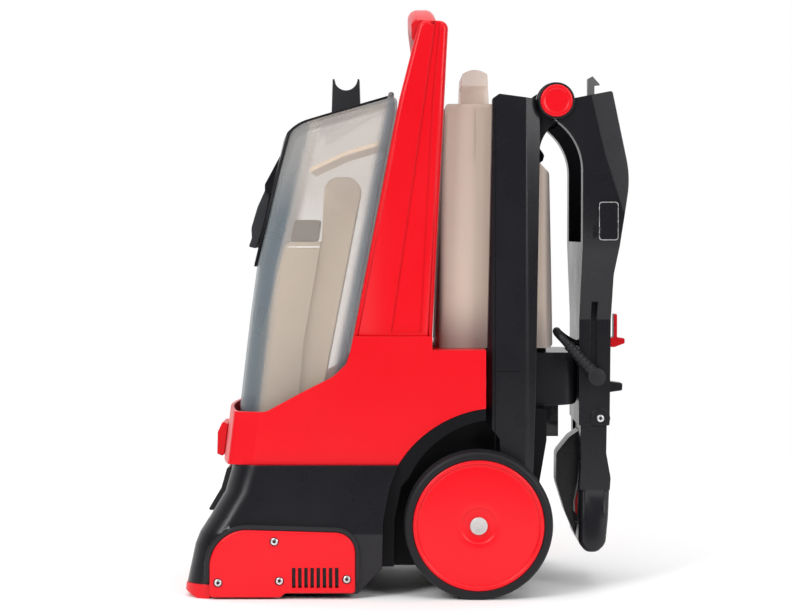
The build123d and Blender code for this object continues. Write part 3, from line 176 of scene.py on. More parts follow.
def tankPlastic(name, settings):
    # Tank wall: paler and clearer on the flat sides, with painted shade that darkens it and makes it more
    # opaque where it turns at a corner, less of it towards the top; darker and more opaque where it meets the
    # frame or comes near its foot, and milkier towards the crown
    material, tree, shader = newMaterial(name)
    surface = tree.nodes.new("ShaderNodeNewGeometry")
    turn = tree.nodes.new("ShaderNodeSeparateXYZ")
    tree.links.new(surface.outputs["Normal"], turn.inputs["Vector"])
    sideways = mathOf(tree, "ABSOLUTE", turn.outputs["Y"], 0)
    turned = mathOf(tree, "MULTIPLY", sideways, -1)
    # Painted shade: the wall moves to the edge colour and grows more opaque where its normal leaves the flat
    # sides, as at its corners
    corner = bandOf(tree, turned, -settings["flat"], -settings["turned"])
    place = tree.nodes.new("ShaderNodeTexCoord")
    where = tree.nodes.new("ShaderNodeSeparateXYZ")
    tree.links.new(place.outputs["Object"], where.inputs["Vector"])
    along, height = where.outputs["X"], where.outputs["Z"]
    upright = mathOf(tree, "SUBTRACT", along, mathOf(tree, "MULTIPLY", height, settings["lean"]))
    rear = bandOf(tree, upright, *settings["rearBand"])
    # Less of the painted corner shade in the upper band
    clear = mathOf(tree, "MULTIPLY", bandOf(tree, height, *settings["paleBand"]), settings["paler"])
    corner = mathOf(tree, "MULTIPLY", corner, mathOf(tree, "SUBTRACT", 1, clear))
    shadeAndTone = mathOf(tree, "MAXIMUM", corner, mathOf(tree, "MULTIPLY", rear, settings["rearDensity"]))
    nearFoot = bandOf(tree, height, *settings["footBand"])
    foot = mathOf(tree, "MULTIPLY", nearFoot, settings["footDensity"])
    clouds = noiseOf(tree, *tankTexture["clouds"])
    cloud = mathOf(tree, "MULTIPLY", clouds, tankTexture["cloudDensity"])
    shadeAndTone = mathOf(tree, "ADD", mathOf(tree, "MAXIMUM", shadeAndTone, foot), cloud)
    face, edge = settings["colours"]
    colour = rampOf(tree, shadeAndTone, face, edge, tankTexture["colourSpan"])
    tree.links.new(colour, shader.inputs["Base Color"])
    cover = tree.nodes.new("ShaderNodeMapRange")
    low, crown, full = settings["cover"]
    milky = mathOf(tree, "MULTIPLY", bandOf(tree, height, *settings["milkyBand"]), crown - low)
    tree.links.new(mathOf(tree, "ADD", milky, low), cover.inputs["To Min"])
    cover.inputs["To Max"].default_value = full
    tree.links.new(shadeAndTone, cover.inputs["Value"])
    tree.links.new(cover.outputs["Result"], shader.inputs["Alpha"])
    gloss = noiseOf(tree, *tankTexture["gloss"])
    tree.links.new(rangeOf(tree, gloss, *settings["roughness"]), shader.inputs["Roughness"])
    shader.inputs["IOR"].default_value = tankTexture["ior"]
    waves = noiseOf(tree, *tankTexture["waves"])
    bumpOf(tree, shader, waves, tankTexture["bump"], tankTexture["waveHeight"], 0)
    return material


materials = {
    "red_plastic": mouldedPlastic("redPlastic", {
        "colours": ((0.675, 0.0022, 0.0085), (0.715, 0.0028, 0.0100)), "roughness": (0.30, 0.36),
        "shine": 0.32, "coat": 0.06, "coatRoughness": 0.14, "grain": 260, "bump": 0.02, "edge": 0.0016}),
    "black_plastic": mouldedPlastic("blackPlastic", {
        "colours": ((0.0085, 0.0082, 0.0105), (0.0115, 0.0112, 0.0140)), "roughness": (0.24, 0.32),
        "shine": 0.33, "coat": 0.06, "coatRoughness": 0.12, "grain": 260, "bump": 0.02, "edge": 0.0016}),
    "matte_black": mouldedPlastic("matteBlack", {
        "colours": ((0.0085, 0.0085, 0.0100), (0.013, 0.013, 0.015)), "roughness": (0.42, 0.52),
        "shine": 0.35, "coat": 0.0, "coatRoughness": 0.3, "grain": 900, "bump": 0.06, "edge": 0.0012}),
    "duct_plastic": mouldedPlastic("ductPlastic", {
        "colours": ((0.93, 0.74, 0.53), (0.97, 0.79, 0.59)), "roughness": (0.45, 0.55),
        "shine": 0.35, "coat": 0.0, "coatRoughness": 0.3, "grain": 300, "bump": 0.04, "edge": 0.002}),
    "grey_plastic": mouldedPlastic("greyPlastic", {
        "colours": ((0.10, 0.10, 0.105), (0.14, 0.14, 0.145)), "roughness": (0.35, 0.45),
        "shine": 0.35, "coat": 0.0, "coatRoughness": 0.3, "grain": 500, "bump": 0.05, "edge": 0.001}),
    "tyre_rubber": mouldedPlastic("tyreRubber", {
        "colours": ((0.009, 0.009, 0.0105), (0.014, 0.014, 0.016)), "roughness": (0.36, 0.48),
        "shine": 0.20, "coat": 0.0, "coatRoughness": 0.5, "grain": 1100, "bump": 0.10, "edge": 0.001}),
    "bristle": mouldedPlastic("bristle", {
        "colours": ((0.03, 0.03, 0.035), (0.06, 0.06, 0.07)), "roughness": (0.5, 0.6),
        "shine": 0.25, "coat": 0.0, "coatRoughness": 0.5, "grain": 1500, "bump": 0.3, "edge": 0}),
    "steel": metal("platedSteel", {
        "colours": ((0.60, 0.60, 0.61), (0.72, 0.72, 0.73)), "roughness": (0.24, 0.36), "edge": 0.0006}),
    "motor_casing": metal("motorCasing", {
        "colours": ((0.42, 0.42, 0.44), (0.5, 0.5, 0.52)), "roughness": (0.4, 0.52), "edge": 0.001}),
    # Tanks: colours as (face, edge), the edge colour being the painted corner shade and the colour of the
    # darker bands
    "smoky_tank": tankPlastic("smokyTank", {
        "colours": ((0.62, 0.555, 0.50), (0.155, 0.190, 0.215)), "roughness": (0.24, 0.32),
        "cover": (0.19, 0.28, 0.62), "milkyBand": (0.45, 0.50), "flat": 0.995, "turned": 0.86,
        "lean": 0.194, "rearBand": (-0.149, -0.137), "rearDensity": 0.85,
        "paleBand": (0.42, 0.56), "paler": 0.45, "footBand": (0.20, 0.10), "footDensity": 0.0}),
}
cleanTankPlastic = tankPlastic("paleTank", {
    "colours": ((0.79, 0.645, 0.545), (0.30, 0.25, 0.23)), "roughness": (0.28, 0.36),
    "cover": (0.56, 0.56, 0.80), "milkyBand": (0.5, 0.6), "flat": 0.995, "turned": 0.80,
    "lean": 0.0, "rearBand": (0.5, 0.6), "rearDensity": 0.0,
    "paleBand": (0.588, 0.596), "paler": 0.85, "footBand": (0.365, 0.297), "footDensity": 0.8})
capSteel = metal("brushedCap", {
    "colours": ((0.56, 0.55, 0.545), (0.64, 0.63, 0.62)), "roughness": (0.46, 0.56), "edge": 0.0006})
floatPlastic = mouldedPlastic("floatPlastic", {
    "colours": ((0.060, 0.058, 0.056), (0.080, 0.077, 0.074)), "roughness": (0.45, 0.55),
    "shine": 0.35, "coat": 0.0, "coatRoughness": 0.3, "grain": 300, "bump": 0.04, "edge": 0.001})
# Painted sheen: a lighter copy of the black plastic for the hose rest and lid latch, its raised colour
# standing for the light they catch
paintedSheenBlack = mouldedPlastic("paintedSheenBlack", {
    "colours": ((0.026, 0.027, 0.031), (0.036, 0.037, 0.042)), "roughness": (0.34, 0.44),
    "shine": 0.5, "coat": 0.0, "coatRoughness": 0.3, "grain": 700, "bump": 0.05, "edge": 0.0014})
# Painted shade: a darker, duller copy of the black plastic for the rear chassis under the arch; the column
# lines use it as dark seams
shadeAndSeamBlack = mouldedPlastic("shadeAndSeamBlack", {
    "colours": ((0.0040, 0.0040, 0.0050), (0.0060, 0.0060, 0.0075)), "roughness": (0.42, 0.52),
    "shine": 0.14, "coat": 0.0, "coatRoughness": 0.3, "grain": 900, "bump": 0.06, "edge": 0.0012})
printWhite = mouldedPlastic("printWhite", {
    "colours": ((0.78, 0.78, 0.78), (0.86, 0.86, 0.86)), "roughness": (0.5, 0.6),
    "shine": 0.35, "coat": 0.0, "coatRoughness": 0.3, "grain": 900, "bump": 0.02, "edge": 0})
print("materials made", len(materials))


# Meshes: quads on a grid of rings, and a piece that rides on a body
weld = {"doubles": 0.000001, "slivers": 0.0000005, "nodeDoubles": 0.00002, "crease": 38}


def gridFaces(count, turns, closed=False):
    # Quads between neighbouring rings, closed round each ring and, if asked, from the last ring to the first
    i, k = np.meshgrid(np.arange(count if closed else count - 1), np.arange(turns), indexing="ij")
    j, m = (i + 1) % count, (k + 1) % turns
    return np.stack([i * turns + k, i * turns + m, j * turns + m, j * turns + k], axis=-1).reshape(-1, 4)


def cappedTube(rings, path):
    # Rings round a path, with each end drawn in to the path's own end point
    sides = rings.shape[1]
    first, last = [np.repeat(path[end][None, None], sides, axis=1) for end in (0, -1)]
    rings = np.concatenate([first, rings, last])
    return rings.reshape(-1, 3), gridFaces(len(rings), sides)


def smoothShade(mesh, crease):
    mesh.polygons.foreach_set("use_smooth", [True] * len(mesh.polygons))
    mesh.set_sharp_from_angle(angle=math.radians(crease))


def meshOf(name, surfaces, crease=weld["crease"]):
    # One mesh from several surfaces, doubles merged and faces turned outwards
    points, faces, start = [], [], 0
    for surface in surfaces:
        points.append(surface[0])
        faces.append(surface[1] + start)
        start += len(surface[0])
    mesh = bpy.data.meshes.new(name)
    mesh.from_pydata(np.concatenate(points).tolist(), [], np.concatenate(faces).tolist())
    work = bmesh.new()
    work.from_mesh(mesh)
    bmesh.ops.remove_doubles(work, verts=work.verts, dist=weld["doubles"])
    bmesh.ops.dissolve_degenerate(work, edges=work.edges, dist=weld["slivers"])
    bmesh.ops.recalc_face_normals(work, faces=work.faces)
    work.to_mesh(mesh)
    work.free()
    smoothShade(mesh, crease)
    return mesh


def addPiece(name, mesh, body, replaced, slot):
    piece = bpy.data.objects.new(name, mesh)
    scene.collection.objects.link(piece)
    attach(piece, body)
    if replaced:
        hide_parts(*replaced)
    mesh.materials.clear()
    mesh.materials.append(materials[slot])
    return piece


# Handle lead: the route's points from the part, in metres, as one smooth spline
lead = {
    "points": [
        (0.19265, -0.0825, 0.29954),
        (0.1867, -0.0825, 0.3063),
        (0.1805, -0.0745, 0.313),
        (0.180, -0.062, 0.3155),
        (0.182, -0.050, 0.313),
        (0.189, -0.041, 0.307),
        (0.199, -0.037, 0.3005),
        (0.207, -0.0363, 0.2975),
    ],
    "radius": 0.005,
    "length": 0.0785,
    "sides": 32,
    "steps": 16,
    "upright": (0.7071, 0.0, 0.7071),
}
leadCurve = bpy.data.curves.new("leadRoute", "CURVE")
leadCurve.dimensions = "3D"
leadSpline = leadCurve.splines.new("NURBS")
leadSpline.points.add(len(lead["points"]) - 1)
for point, place in zip(leadSpline.points, lead["points"]):
    point.co = (*place, 1)
leadSpline.order_u = 3
leadSpline.use_endpoint_u = True
leadSpline.resolution_u = lead["steps"]
leadRoute = bpy.data.objects.new("leadRoute", leadCurve)
scene.collection.objects.link(leadRoute)
leadLine = bpy.data.meshes.new_from_object(leadRoute.evaluated_get(bpy.context.evaluated_depsgraph_get()))
leadPath = np.empty(3 * len(leadLine.vertices), np.float32)
leadLine.vertices.foreach_get("co", leadPath)
leadPath = leadPath.astype(float).reshape(-1, 3)
bpy.data.objects.remove(leadRoute)


def leadSurface():
    # Tube: path + r (n cos p + b sin p), n and b square to the path's direction, n also to the lead's upright
    way = np.gradient(leadPath, axis=0)
    way /= np.linalg.norm(way, axis=1)[:, None]
    n = np.cross(way, lead["upright"])
    n /= np.linalg.norm(n, axis=1)[:, None]
    b = np.cross(way, n)
    p = np.linspace(0, 2 * np.pi, lead["sides"], endpoint=False)[None, :, None]
    rings = leadPath[:, None] + lead["radius"] * (n[:, None] * np.cos(p) + b[:, None] * np.sin(p))
    return cappedTube(rings, leadPath)


leadMesh = meshOf("handleLead", [leadSurface()])
leadPiece = addPiece("handleLead", leadMesh, "handle", ["handle_lead"], "matte_black")
print("lead in place")


# Skins: each moulded node as a merged, smooth-shaded copy
skins = {"crease": 32, "flatAngle": 0.6, "curved": {"recovery_tank"}}  # curved nodes keep all their facets


def skinOf(node):
    mesh = nodes[node].data.copy()
    work = bmesh.new()
    work.from_mesh(mesh)
    bmesh.ops.remove_doubles(work, verts=work.verts, dist=weld["nodeDoubles"])
    if node not in skins["curved"]:
        flat = math.radians(skins["flatAngle"])
        bmesh.ops.dissolve_limit(work, angle_limit=flat, verts=work.verts, edges=work.edges)
    work.to_mesh(mesh)
    work.free()
    smoothShade(mesh, skins["crease"])
    piece = addPiece(node + "_skin", mesh, bodyOf[node], [node], slotOf[node])
    flatFaces = piece.modifiers.new("flatFaces", "WEIGHTED_NORMAL")
    flatFaces.keep_sharp = True
    return piece


madeBelow = {"tyre_left", "tyre_right", "wheel_left", "wheel_right", "axle_caps", "pivot_button_left",
             "pivot_button_right", "handle_lead", "lead_gland", "cover_screws", "handle_screws", "fill_cap"}
# Own materials: the pale tank and the float in their own colours, painted shade on the rear chassis under the
# arch, painted sheen on the hose rest and lid latch
finishAndPaintedLight = {"clean_tank": cleanTankPlastic, "float_block": floatPlastic, "rear_chassis": shadeAndSeamBlack,
             "hose_rest": paintedSheenBlack, "lid_latch": paintedSheenBlack}
for node in sorted(set(nodes) - madeBelow):
    skin = skinOf(node)
    if node in finishAndPaintedLight:
        skin.data.materials[0] = finishAndPaintedLight[node]
print("skins made")


# Turned pieces: rings of (radius, height) about an axis
latheTurns = 144
bothSides = ((-1, "left"), (1, "right"))


def turnedSurface(profile, origin, axis, lobes=0, lobeDepth=0.0, lobed=(), turns=latheTurns, closed=False):
    # Surface: origin + h * axis + r (1 + depth * cos(lobes * t)) (u cos t + v sin t), t over a full turn
    rows = np.array(profile, float)
    t = np.linspace(0, 2 * np.pi, turns, endpoint=False)
    along = np.array(axis, float) / np.linalg.norm(axis)
    u = np.cross(along, (0.0, 0.6, 0.8) if abs(along[1]) < 0.9 else (1.0, 0.0, 0.0))
    u /= np.linalg.norm(u)
    v = np.cross(along, u)
    swell = np.zeros((len(rows), 1))
    swell[list(lobed)] = lobeDepth
    r = rows[:, :1] * (1 + swell * np.cos(lobes * t))
    spokes = np.cos(t)[:, None] * u + np.sin(t)[:, None] * v
    points = np.array(origin, float) + rows[:, 1][:, None, None] * along + r[:, :, None] * spokes
    return points.reshape(-1, 3), gridFaces(len(rows), turns, closed)


def lathe(name, profile, centre, side, body, replaced, slot, closed=False):
    # A piece turned about an axle along Y, with heights measured outwards from the mid plane
    surface = turnedSurface(profile, (centre[0], 0, centre[1]), (0, side, 0), closed=closed)
    return addPiece(name, meshOf(name, [surface]), body, replaced, slot)


def solidBoxes(node):
    # Lowest and highest corners of each separate solid in a node, in order of place
    work = bmesh.new()
    work.from_mesh(nodes[node].data)
    bmesh.ops.remove_doubles(work, verts=work.verts, dist=weld["nodeDoubles"])
    left, boxes = set(work.verts), []
    while left:
        group, edge = set(), {left.pop()}
        while edge:
            group |= edge
            edge = {e.other_vert(p) for p in edge for e in p.link_edges} - group
        left -= group
        places = np.array([p.co[:] for p in group])
        boxes.append((places.min(axis=0), places.max(axis=0)))
    work.free()
    return sorted(boxes, key=lambda box: box[0].tolist())


def outerFace(low, high):
    # The side that a box lies on, -1 left or 1 right, and the y of its outer face
    return (1, high[1]) if low[1] > 0 else (-1, low[1])


wheel = {"centre": (0.0815, 0.0885), "radius": 0.0885, "hub": 0.078, "hubGap": 0.0001, "inner": 0.122,
         "outer": 0.160, "shoulder": 0.006, "shoulderSteps": 8, "grooves": (0.132, 0.141, 0.150),
         "grooveDepth": 0.0012, "grooveMouth": 0.0016, "grooveFloor": 0.0010}


def tyreProfile():
    # Rounded shoulders as quarter circles, a level tread with grooves and a lip beside the disc
    r, h, s = wheel["radius"], wheel["hub"], wheel["shoulder"]
    inner, outer = wheel["inner"], wheel["outer"]
    mouth, bed, deep = wheel["grooveMouth"], wheel["grooveFloor"], r - wheel["grooveDepth"]
    turn = [math.radians(90 * k / wheel["shoulderSteps"]) for k in range(wheel["shoulderSteps"] + 1)]
    rows = [(h, inner)]
    rows += [(r - s + s * math.sin(a), inner + s - s * math.cos(a)) for a in turn]
    for groove in wheel["grooves"]:
        rows += [(r, groove - mouth), (deep, groove - bed), (deep, groove + bed), (r, groove + mouth)]
    rows += [(r - s + s * math.cos(a), outer - s + s * math.sin(a)) for a in turn]
    return rows + [(h + 0.0012, outer - 0.0002), (h, outer - 0.0016)]


def hubProfile():
    # Dish seen from outside: rim bead, groove, gently domed web and a sunk ring round the cap
    o = wheel["outer"]
    h = wheel["hub"] - wheel["hubGap"]
    back, dish = o - 0.036, o - 0.009
    hollow = [(0.0086, back), (0.018, back), (0.018, dish), (h - 0.006, dish), (h - 0.006, back)]
    rim = [(h, back), (h, o - 0.0016), (h - 0.0008, o - 0.0006), (h - 0.0022, o - 0.0002),
           (h - 0.0040, o - 0.0005)]
    groove = [(h - 0.0050, o - 0.0014), (h - 0.0056, o - 0.0024), (h - 0.0066, o - 0.0027),
              (h - 0.0090, o - 0.0024)]
    web = [(0.060, o - 0.0016), (0.045, o - 0.0010), (0.030, o - 0.0006), (0.0222, o - 0.0005)]
    ring = [(0.0212, o - 0.0008), (0.0206, o - 0.0016), (0.0196, o - 0.0020), (0.0130, o - 0.0020),
            (0.0112, o - 0.0021), (0.0086, o - 0.0021)]
    return hollow + rim + groove + web + ring


def capProfile():
    # Axle cap: a straight edge, a rounded rim and a slightly sunk face
    o = wheel["outer"] - 0.0017
    return [(0.0, o), (0.0105, o), (0.0105, o + 0.0024), (0.0102, o + 0.0030), (0.0096, o + 0.0034),
            (0.0088, o + 0.0035), (0.0076, o + 0.0032), (0.0, o + 0.0032)]


for side, label in bothSides:
    body, tyreNode, wheelNode = label + "_wheel", "tyre_" + label, "wheel_" + label
    centre = wheel["centre"]
    lathe(tyreNode + "_skin", tyreProfile(), centre, side, body, [tyreNode], "tyre_rubber", True)
    lathe(wheelNode + "_skin", hubProfile(), centre, side, body, [wheelNode], "red_plastic", True)
    cap = lathe("axleCap_" + label, capProfile(), centre, side, "chassis", ["axle_caps"], "steel")
    cap.data.materials[0] = capSteel

pivot = {"centre": (0.175, 0.593), "button": 0.0193, "face": 0.126, "buttonDepth": 0.009,
         "eye": 0.0215, "ringGap": 0.0002, "ringBack": 0.1165, "ringFace": 0.1242}


def buttonProfile():
    # Lock button: a straight edge, a raised rim and a sunk, hardly domed middle
    f, r, back = pivot["face"], pivot["button"], pivot["face"] - pivot["buttonDepth"]
    return [(0.0, back), (r, back), (r, f - 0.0016), (r - 0.0005, f - 0.0007), (r - 0.0015, f - 0.0001),
            (r - 0.0026, f), (r - 0.0042, f - 0.0001), (r - 0.0050, f - 0.0005), (r - 0.0058, f - 0.0008),
            (r - 0.0080, f - 0.0008), (0.0, f - 0.0005)]


def ringProfile():
    # The arm's eye round the button, with rounded rims
    i, e = pivot["button"] + pivot["ringGap"], pivot["eye"] + 0.0003
    back, f = pivot["ringBack"], pivot["ringFace"]
    return [(i, back), (e, back), (e, f - 0.0013), (e - 0.0004, f - 0.0004), (e - 0.0012, f),
            (i + 0.0006, f), (i, f - 0.0004)]


for side, label in bothSides:
    centre, buttonNode = pivot["centre"], "pivot_button_" + label
    body = label + "_button"
    lathe("pivotButton_" + label, buttonProfile(), centre, side, body, [buttonNode], "red_plastic")
    lathe("pivotRing_" + label, ringProfile(), centre, side, "handle", [], "black_plastic", True)
print("turned pieces made")


# Screws: a domed head with a six-lobed socket, and its shank
screw = {"head": 0.0046, "socket": 0.0019, "depth": 0.0017, "shank": 0.0020, "seat": 0.0020,
         "length": 0.011, "recess": 0.0053, "recessSpan": (-0.0010, -0.0019), "lobes": 6,
         "lobeDepth": 0.14, "turns": 72}


def screwProfile():
    # Socket, domed head and shank as (radius, height over the head's top)
    h, w, deep = screw["head"], screw["socket"], -screw["depth"]
    seat, shank, tip = -screw["seat"], screw["shank"], -screw["length"]
    return [
        (0, deep), (w * 0.8, deep), (w, -0.0003), (w + 0.0003, -0.00005), (h * 0.72, -0.0001),
        (h * 0.92, -0.0005), (h, -0.0011), (h, seat), (shank, seat), (shank, tip), (0, tip),
    ]


def socketProfile():
    # Painted shade: a black floor and walls sunk in the socket
    w, top, bottom = screw["socket"], -0.0006, -screw["depth"] + 0.0001
    return [(0, top), (w * 0.96, top), (w * 0.9, bottom), (0, bottom)]


def recessProfile():
    # The shaded ring between a head and its recess
    top, bottom = screw["recessSpan"]
    return [(screw["head"], top), (screw["recess"], top), (screw["recess"], bottom), (screw["head"], bottom)]


for node in ("cover_screws", "handle_screws"):
    heads, shadeSurfaces = [], []
    lobes, turns = (screw["lobes"], screw["lobeDepth"]), screw["turns"]
    for low, high in solidBoxes(node):
        side, face = outerFace(low, high)
        seat, axis = ((low[0] + high[0]) / 2, face, (low[2] + high[2]) / 2), (0, side, 0)
        heads.append(turnedSurface(screwProfile(), seat, axis, *lobes, (1, 2, 3), turns))
        # Painted shade: a black lining in each socket, and on the cover screws a black ring in the recess
        # round each head
        shadeSurfaces.append(turnedSurface(socketProfile(), seat, axis, *lobes, (1, 2), turns))
        if node == "cover_screws":
            shadeSurfaces.append(turnedSurface(recessProfile(), seat, axis, turns=turns, closed=True))
    addPiece(node + "_turned", meshOf(node + "_turned", heads), bodyOf[node], [node], slotOf[node])
    addPiece(node + "_paintedShade", meshOf(node + "_paintedShade", shadeSurfaces), bodyOf[node], [], "matte_black")
print("screws made")


# Fill cap: a ribbed skirt, a raised rim and a hollow underside, square to the tank's rear slope
fillCap = {"seat": (0.14484, 0, 0.53552), "axis": (0.777741, 0, 0.628585), "radius": 0.0214,
           "bore": 0.0171, "boreTop": 0.0113, "foot": 0.0003, "height": 0.0163, "ribs": 36,
           "ribDepth": 0.022, "ribbedRows": (5, 6), "turnsPerRib": 8, "crease": 50}


def fillCapProfile():
    # Hollow underside, ribbed skirt, raised rim and sunk top as (radius, height over the seat)
    r, b, h = fillCap["radius"], fillCap["bore"], fillCap["height"]
    top, foot = fillCap["boreTop"], fillCap["foot"]
    inside = [(0, top), (b, top), (b, foot), (r - 0.0012, foot), (r - 0.0002, 0.0010)]
    skirt = [(r, 0.0016), (r, 0.0112), (r - 0.0004, 0.0122), (r - 0.0016, 0.0140)]
    rim = [(r - 0.0030, h - 0.0005), (r - 0.0044, h), (r - 0.0060, h - 0.0004), (r - 0.0072, h - 0.0014)]
    return inside + skirt + rim + [(0, h - 0.0016)]


capSurface = turnedSurface(
    fillCapProfile(), fillCap["seat"], fillCap["axis"], fillCap["ribs"], fillCap["ribDepth"],
    fillCap["ribbedRows"], fillCap["ribs"] * fillCap["turnsPerRib"])
capMesh = meshOf("fillCap_ribbed", [capSurface], fillCap["crease"])
addPiece("fillCap_ribbed", capMesh, bodyOf["fill_cap"], ["fill_cap"], slotOf["fill_cap"])
print("fill cap made")


# Strain relief: a round boss on the left arm and a tapered, ribbed sleeve over the start of the lead
relief = {"boss": (0.227, -0.0825, 0.2605), "way": (-0.66, 0, 0.75), "length": 0.052, "root": 0.0085,
          "tip": 0.0063, "ribs": 9, "ribSteps": 16, "groove": 0.0011, "groovePower": 0.35,
          "plainEnd": 0.010, "fade": 0.004, "sleeveTurns": 48, "bossRadius": 0.011,
          "bossDepth": (-0.0085, 0.0095), "bossTurns": 64}


def sleeveProfile():
    # Radius falls evenly from root to tip and dips by the groove between ribs, as |sin| to a small power
    h = np.linspace(0, relief["length"], relief["ribSteps"] * relief["ribs"] + 1)
    taper = relief["root"] + (relief["tip"] - relief["root"]) * h / relief["length"]
    wave = np.abs(np.sin(np.pi * relief["ribs"] * h / relief["length"])) ** relief["groovePower"]
    fade = np.clip((h - relief["plainEnd"]) / relief["fade"], 0, 1)
    r = taper - relief["groove"] * (1 - wave) * fade
    return [(0, 0)] + np.stack([r, h], axis=-1).tolist() + [(0, relief["length"])]


def bossProfile():
    # A round boss with a rounded edge at its outer end
    r, (low, high) = relief["bossRadius"], relief["bossDepth"]
    return [(0, low), (r - 0.0012, low), (r - 0.0004, low + 0.0004), (r, low + 0.0012), (r, high), (0, high)]


reliefMesh = meshOf("leadRelief", [
    turnedSurface(sleeveProfile(), relief["boss"], relief["way"], turns=relief["sleeveTurns"]),
    turnedSurface(bossProfile(), relief["boss"], (0, 1, 0), turns=relief["bossTurns"]),
])
addPiece("leadRelief", reliefMesh, bodyOf["lead_gland"], ["lead_gland"], slotOf["lead_gland"])
print("strain relief made")


# Plate outlines: a fine steel bead round each plate on the handle's arms, a painted highlight along each
# plate's edge
bead = {"width": 0.0225, "corner": 0.0035, "radius": 0.00045, "points": 160, "ring": 10}


def beadSurface(low, high):
    # Path: rounded rectangle (a * sign(cos t) + c cos t, b * sign(sin t) + c sin t)
    # Tube: path + r (n cos p + y sin p)
    face = outerFace(low, high)[1]
    c = bead["corner"]
    a, b = bead["width"] / 2 - c, (high[2] - low[2]) / 2 - c
    t = (np.arange(bead["points"]) + 0.5) / bead["points"] * 2 * np.pi
    p = np.linspace(0, 2 * np.pi, bead["ring"], endpoint=False)[None, :, None]
    level = np.zeros_like(t)
    n = np.stack([np.cos(t), level, np.sin(t)], axis=-1)
    middle = np.array([high[0] - bead["width"] / 2, face, (low[2] + high[2]) / 2])
    corners = np.stack([a * np.sign(np.cos(t)), level, b * np.sign(np.sin(t))], axis=-1)
    path = middle + corners + c * n
    out = np.array([0, 1, 0])
    points = path[:, None] + bead["radius"] * (n[:, None] * np.cos(p) + out * np.sin(p))
    return points.reshape(-1, 3), gridFaces(bead["points"], bead["ring"], True)


beads = [beadSurface(low, high) for low, high in solidBoxes("arm_plates")]
addPiece("plateHighlightBeads", meshOf("plateHighlightBeads", beads), bodyOf["arm_plates"], [], "steel")
print("plate beads made")


# Column lines: a fine moulding line up each column's side and a seam above its foot
columnLine = {"x": 0.1025, "z": (0.120, 0.586), "seamX": (0.1025, 0.1330), "seamZ": 0.2694,
              "radius": 0.0005, "sides": 8, "steps": 24}


def lineSurface(start, end):
    # Thin rod: start + s (end - start) + r (y cos p + n sin p), n square to the line in the column's face
    start, way = np.array(start), np.array(end) - np.array(start)
    path = start + np.linspace(0, 1, columnLine["steps"])[:, None] * way
    p = np.linspace(0, 2 * np.pi, columnLine["sides"], endpoint=False)[None, :, None]
    y = np.array([0.0, 1.0, 0.0])
    n = np.cross(way / np.linalg.norm(way), y)
    return cappedTube(path[:, None] + columnLine["radius"] * (y * np.cos(p) + n * np.sin(p)), path)


columnLines = []
for node in ("column_left", "column_right"):
    corners = np.array(nodes[node].bound_box)
    face = outerFace(corners.min(axis=0), corners.max(axis=0))[1]
    x, (foot, top) = columnLine["x"], columnLine["z"]
    (front, rear), seam = columnLine["seamX"], columnLine["seamZ"]
    columnLines.append(lineSurface((x, face, foot), (x, face, top)))
    columnLines.append(lineSurface((front, face, seam), (rear, face, seam)))
lineMesh = meshOf("columnLines", columnLines)
linePiece = addPiece("columnLines", lineMesh, bodyOf["column_left"], [], "matte_black")
linePiece.data.materials[0] = shadeAndSeamBlack
print("column lines made")


# Level line: a printed strip on the left wall of the recovery tank, round the start of its front corner
levelLine = {"x": (-0.1470, -0.1080), "z": 0.4185, "height": 0.0009, "corner": 0.038, "cornerX": -0.1328,
             "wall": 0.11788, "proud": 0.00015, "steps": 40}


def levelSurface():
    # y = -(wall - corner + sqrt(corner^2 - s^2)), s the way round the corner past cornerX, 0 on the flat side
    x = np.linspace(*levelLine["x"], levelLine["steps"])[:, None]
    s = np.minimum(x - levelLine["cornerX"], 0)
    y = levelLine["wall"] - levelLine["corner"] + np.sqrt(levelLine["corner"] ** 2 - s ** 2)
    z = levelLine["z"] + levelLine["height"] * np.array([[-0.5, -0.5, 0.5, 0.5]])
    out = levelLine["proud"] * np.array([[-1.0, 1.0, 1.0, -1.0]])
    points = np.stack(np.broadcast_arrays(x, -(y + out), z), axis=-1)
    return points.reshape(-1, 3), gridFaces(len(x), 4)


levelMesh = meshOf("levelLine", [levelSurface()])
levelPiece = addPiece("levelLine", levelMesh, bodyOf["recovery_tank"], [], "duct_plastic")
levelPiece.data.materials[0] = printWhite
print("level line made")


# Floor: a pale round disc
floorDisc = {"radius": 1.6, "rings": 12, "turns": 96, "colours": ((0.95, 0.95, 0.95), (0.97, 0.97, 0.97)),
             "drift": (2, 2), "roughness": 0.6}


def floorSurface():
    # Disc: (r cos t, r sin t, 0) for r from the middle out
    t = np.linspace(0, 2 * np.pi, floorDisc["turns"], endpoint=False)
    r = np.linspace(0, floorDisc["radius"], floorDisc["rings"])[:, None]
    points = np.stack([r * np.cos(t), r * np.sin(t), 0 * r * t], axis=-1)
    return points.reshape(-1, 3), gridFaces(floorDisc["rings"], floorDisc["turns"])


floor = bpy.data.objects.new("floor", meshOf("floor", [floorSurface()]))
scene.collection.objects.link(floor)
floorMaterial, floorTree, floorShader = newMaterial("paleFloor")
floorColour = rampOf(floorTree, noiseOf(floorTree, *floorDisc["drift"]), *floorDisc["colours"])
floorTree.links.new(floorColour, floorShader.inputs["Base Color"])
floorShader.inputs["Roughness"].default_value = floorDisc["roughness"]
floor.data.materials.append(floorMaterial)


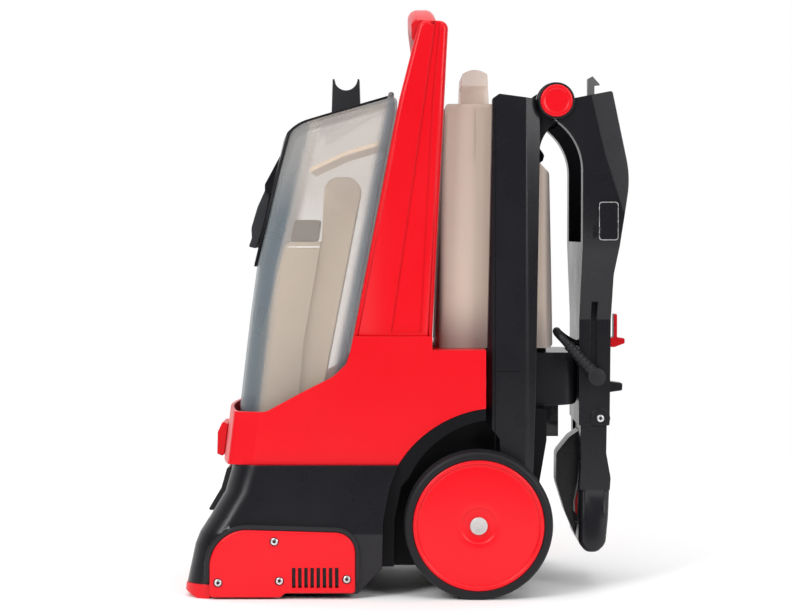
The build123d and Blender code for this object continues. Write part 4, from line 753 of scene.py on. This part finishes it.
# Light: a white backdrop that lights from behind, soft boxes in front and even light from above
studio = {
    "backdrop": {"From Min": -0.3, "From Max": 0.5, "To Min": 0.07, "To Max": 0.9},
    "target": (0, 0, 0.35),
    "softBoxes": {
        "keyLight": {"place": (-1.7, -2.3, 1.9), "size": (1.1, 1.6), "power": 62},
        "fillLight": {"place": (1.9, -2.1, 1.3), "size": (1.0, 1.6), "power": 40},
    },
    "sky": {"power": 1.65, "spread": 70, "tilt": 12},
}
world = bpy.data.worlds.new("studio")
scene.world = world
world.use_nodes = True
worldTree = world.node_tree
backdrop = worldTree.nodes["Background"]
direction = worldTree.nodes.new("ShaderNodeTexCoord")
parts = worldTree.nodes.new("ShaderNodeSeparateXYZ")
worldTree.links.new(direction.outputs["Generated"], parts.inputs["Vector"])
shade = worldTree.nodes.new("ShaderNodeMapRange")
for socket, value in studio["backdrop"].items():
    shade.inputs[socket].default_value = value
worldTree.links.new(parts.outputs["Y"], shade.inputs["Value"])
seen = worldTree.nodes.new("ShaderNodeLightPath")
pick = mathOf(worldTree, "MAXIMUM", shade.outputs["Result"], seen.outputs["Is Camera Ray"])
worldTree.links.new(pick, backdrop.inputs["Strength"])
backdrop.inputs["Color"].default_value = (1, 1, 1, 1)


def softBox(name, place, size, power):
    lamp = bpy.data.lights.new(name, "AREA")
    lamp.shape = "RECTANGLE"
    lamp.size, lamp.size_y = size
    lamp.energy = power
    box = bpy.data.objects.new(name, lamp)
    box.location = place
    box.rotation_euler = (Vector(studio["target"]) - Vector(place)).to_track_quat("-Z", "Y").to_euler()
    scene.collection.objects.link(box)


for name, settings in studio["softBoxes"].items():
    softBox(name, **settings)
sky = bpy.data.lights.new("skyLight", "SUN")
sky.energy = studio["sky"]["power"]
sky.angle = math.radians(studio["sky"]["spread"])
skyLamp = bpy.data.objects.new("skyLight", sky)
skyLamp.rotation_euler = (math.radians(studio["sky"]["tilt"]), 0, 0)
scene.collection.objects.link(skyLamp)
scene.view_settings.view_transform = "Standard"
print("stage and light set")

bpy.context.view_layer.update()
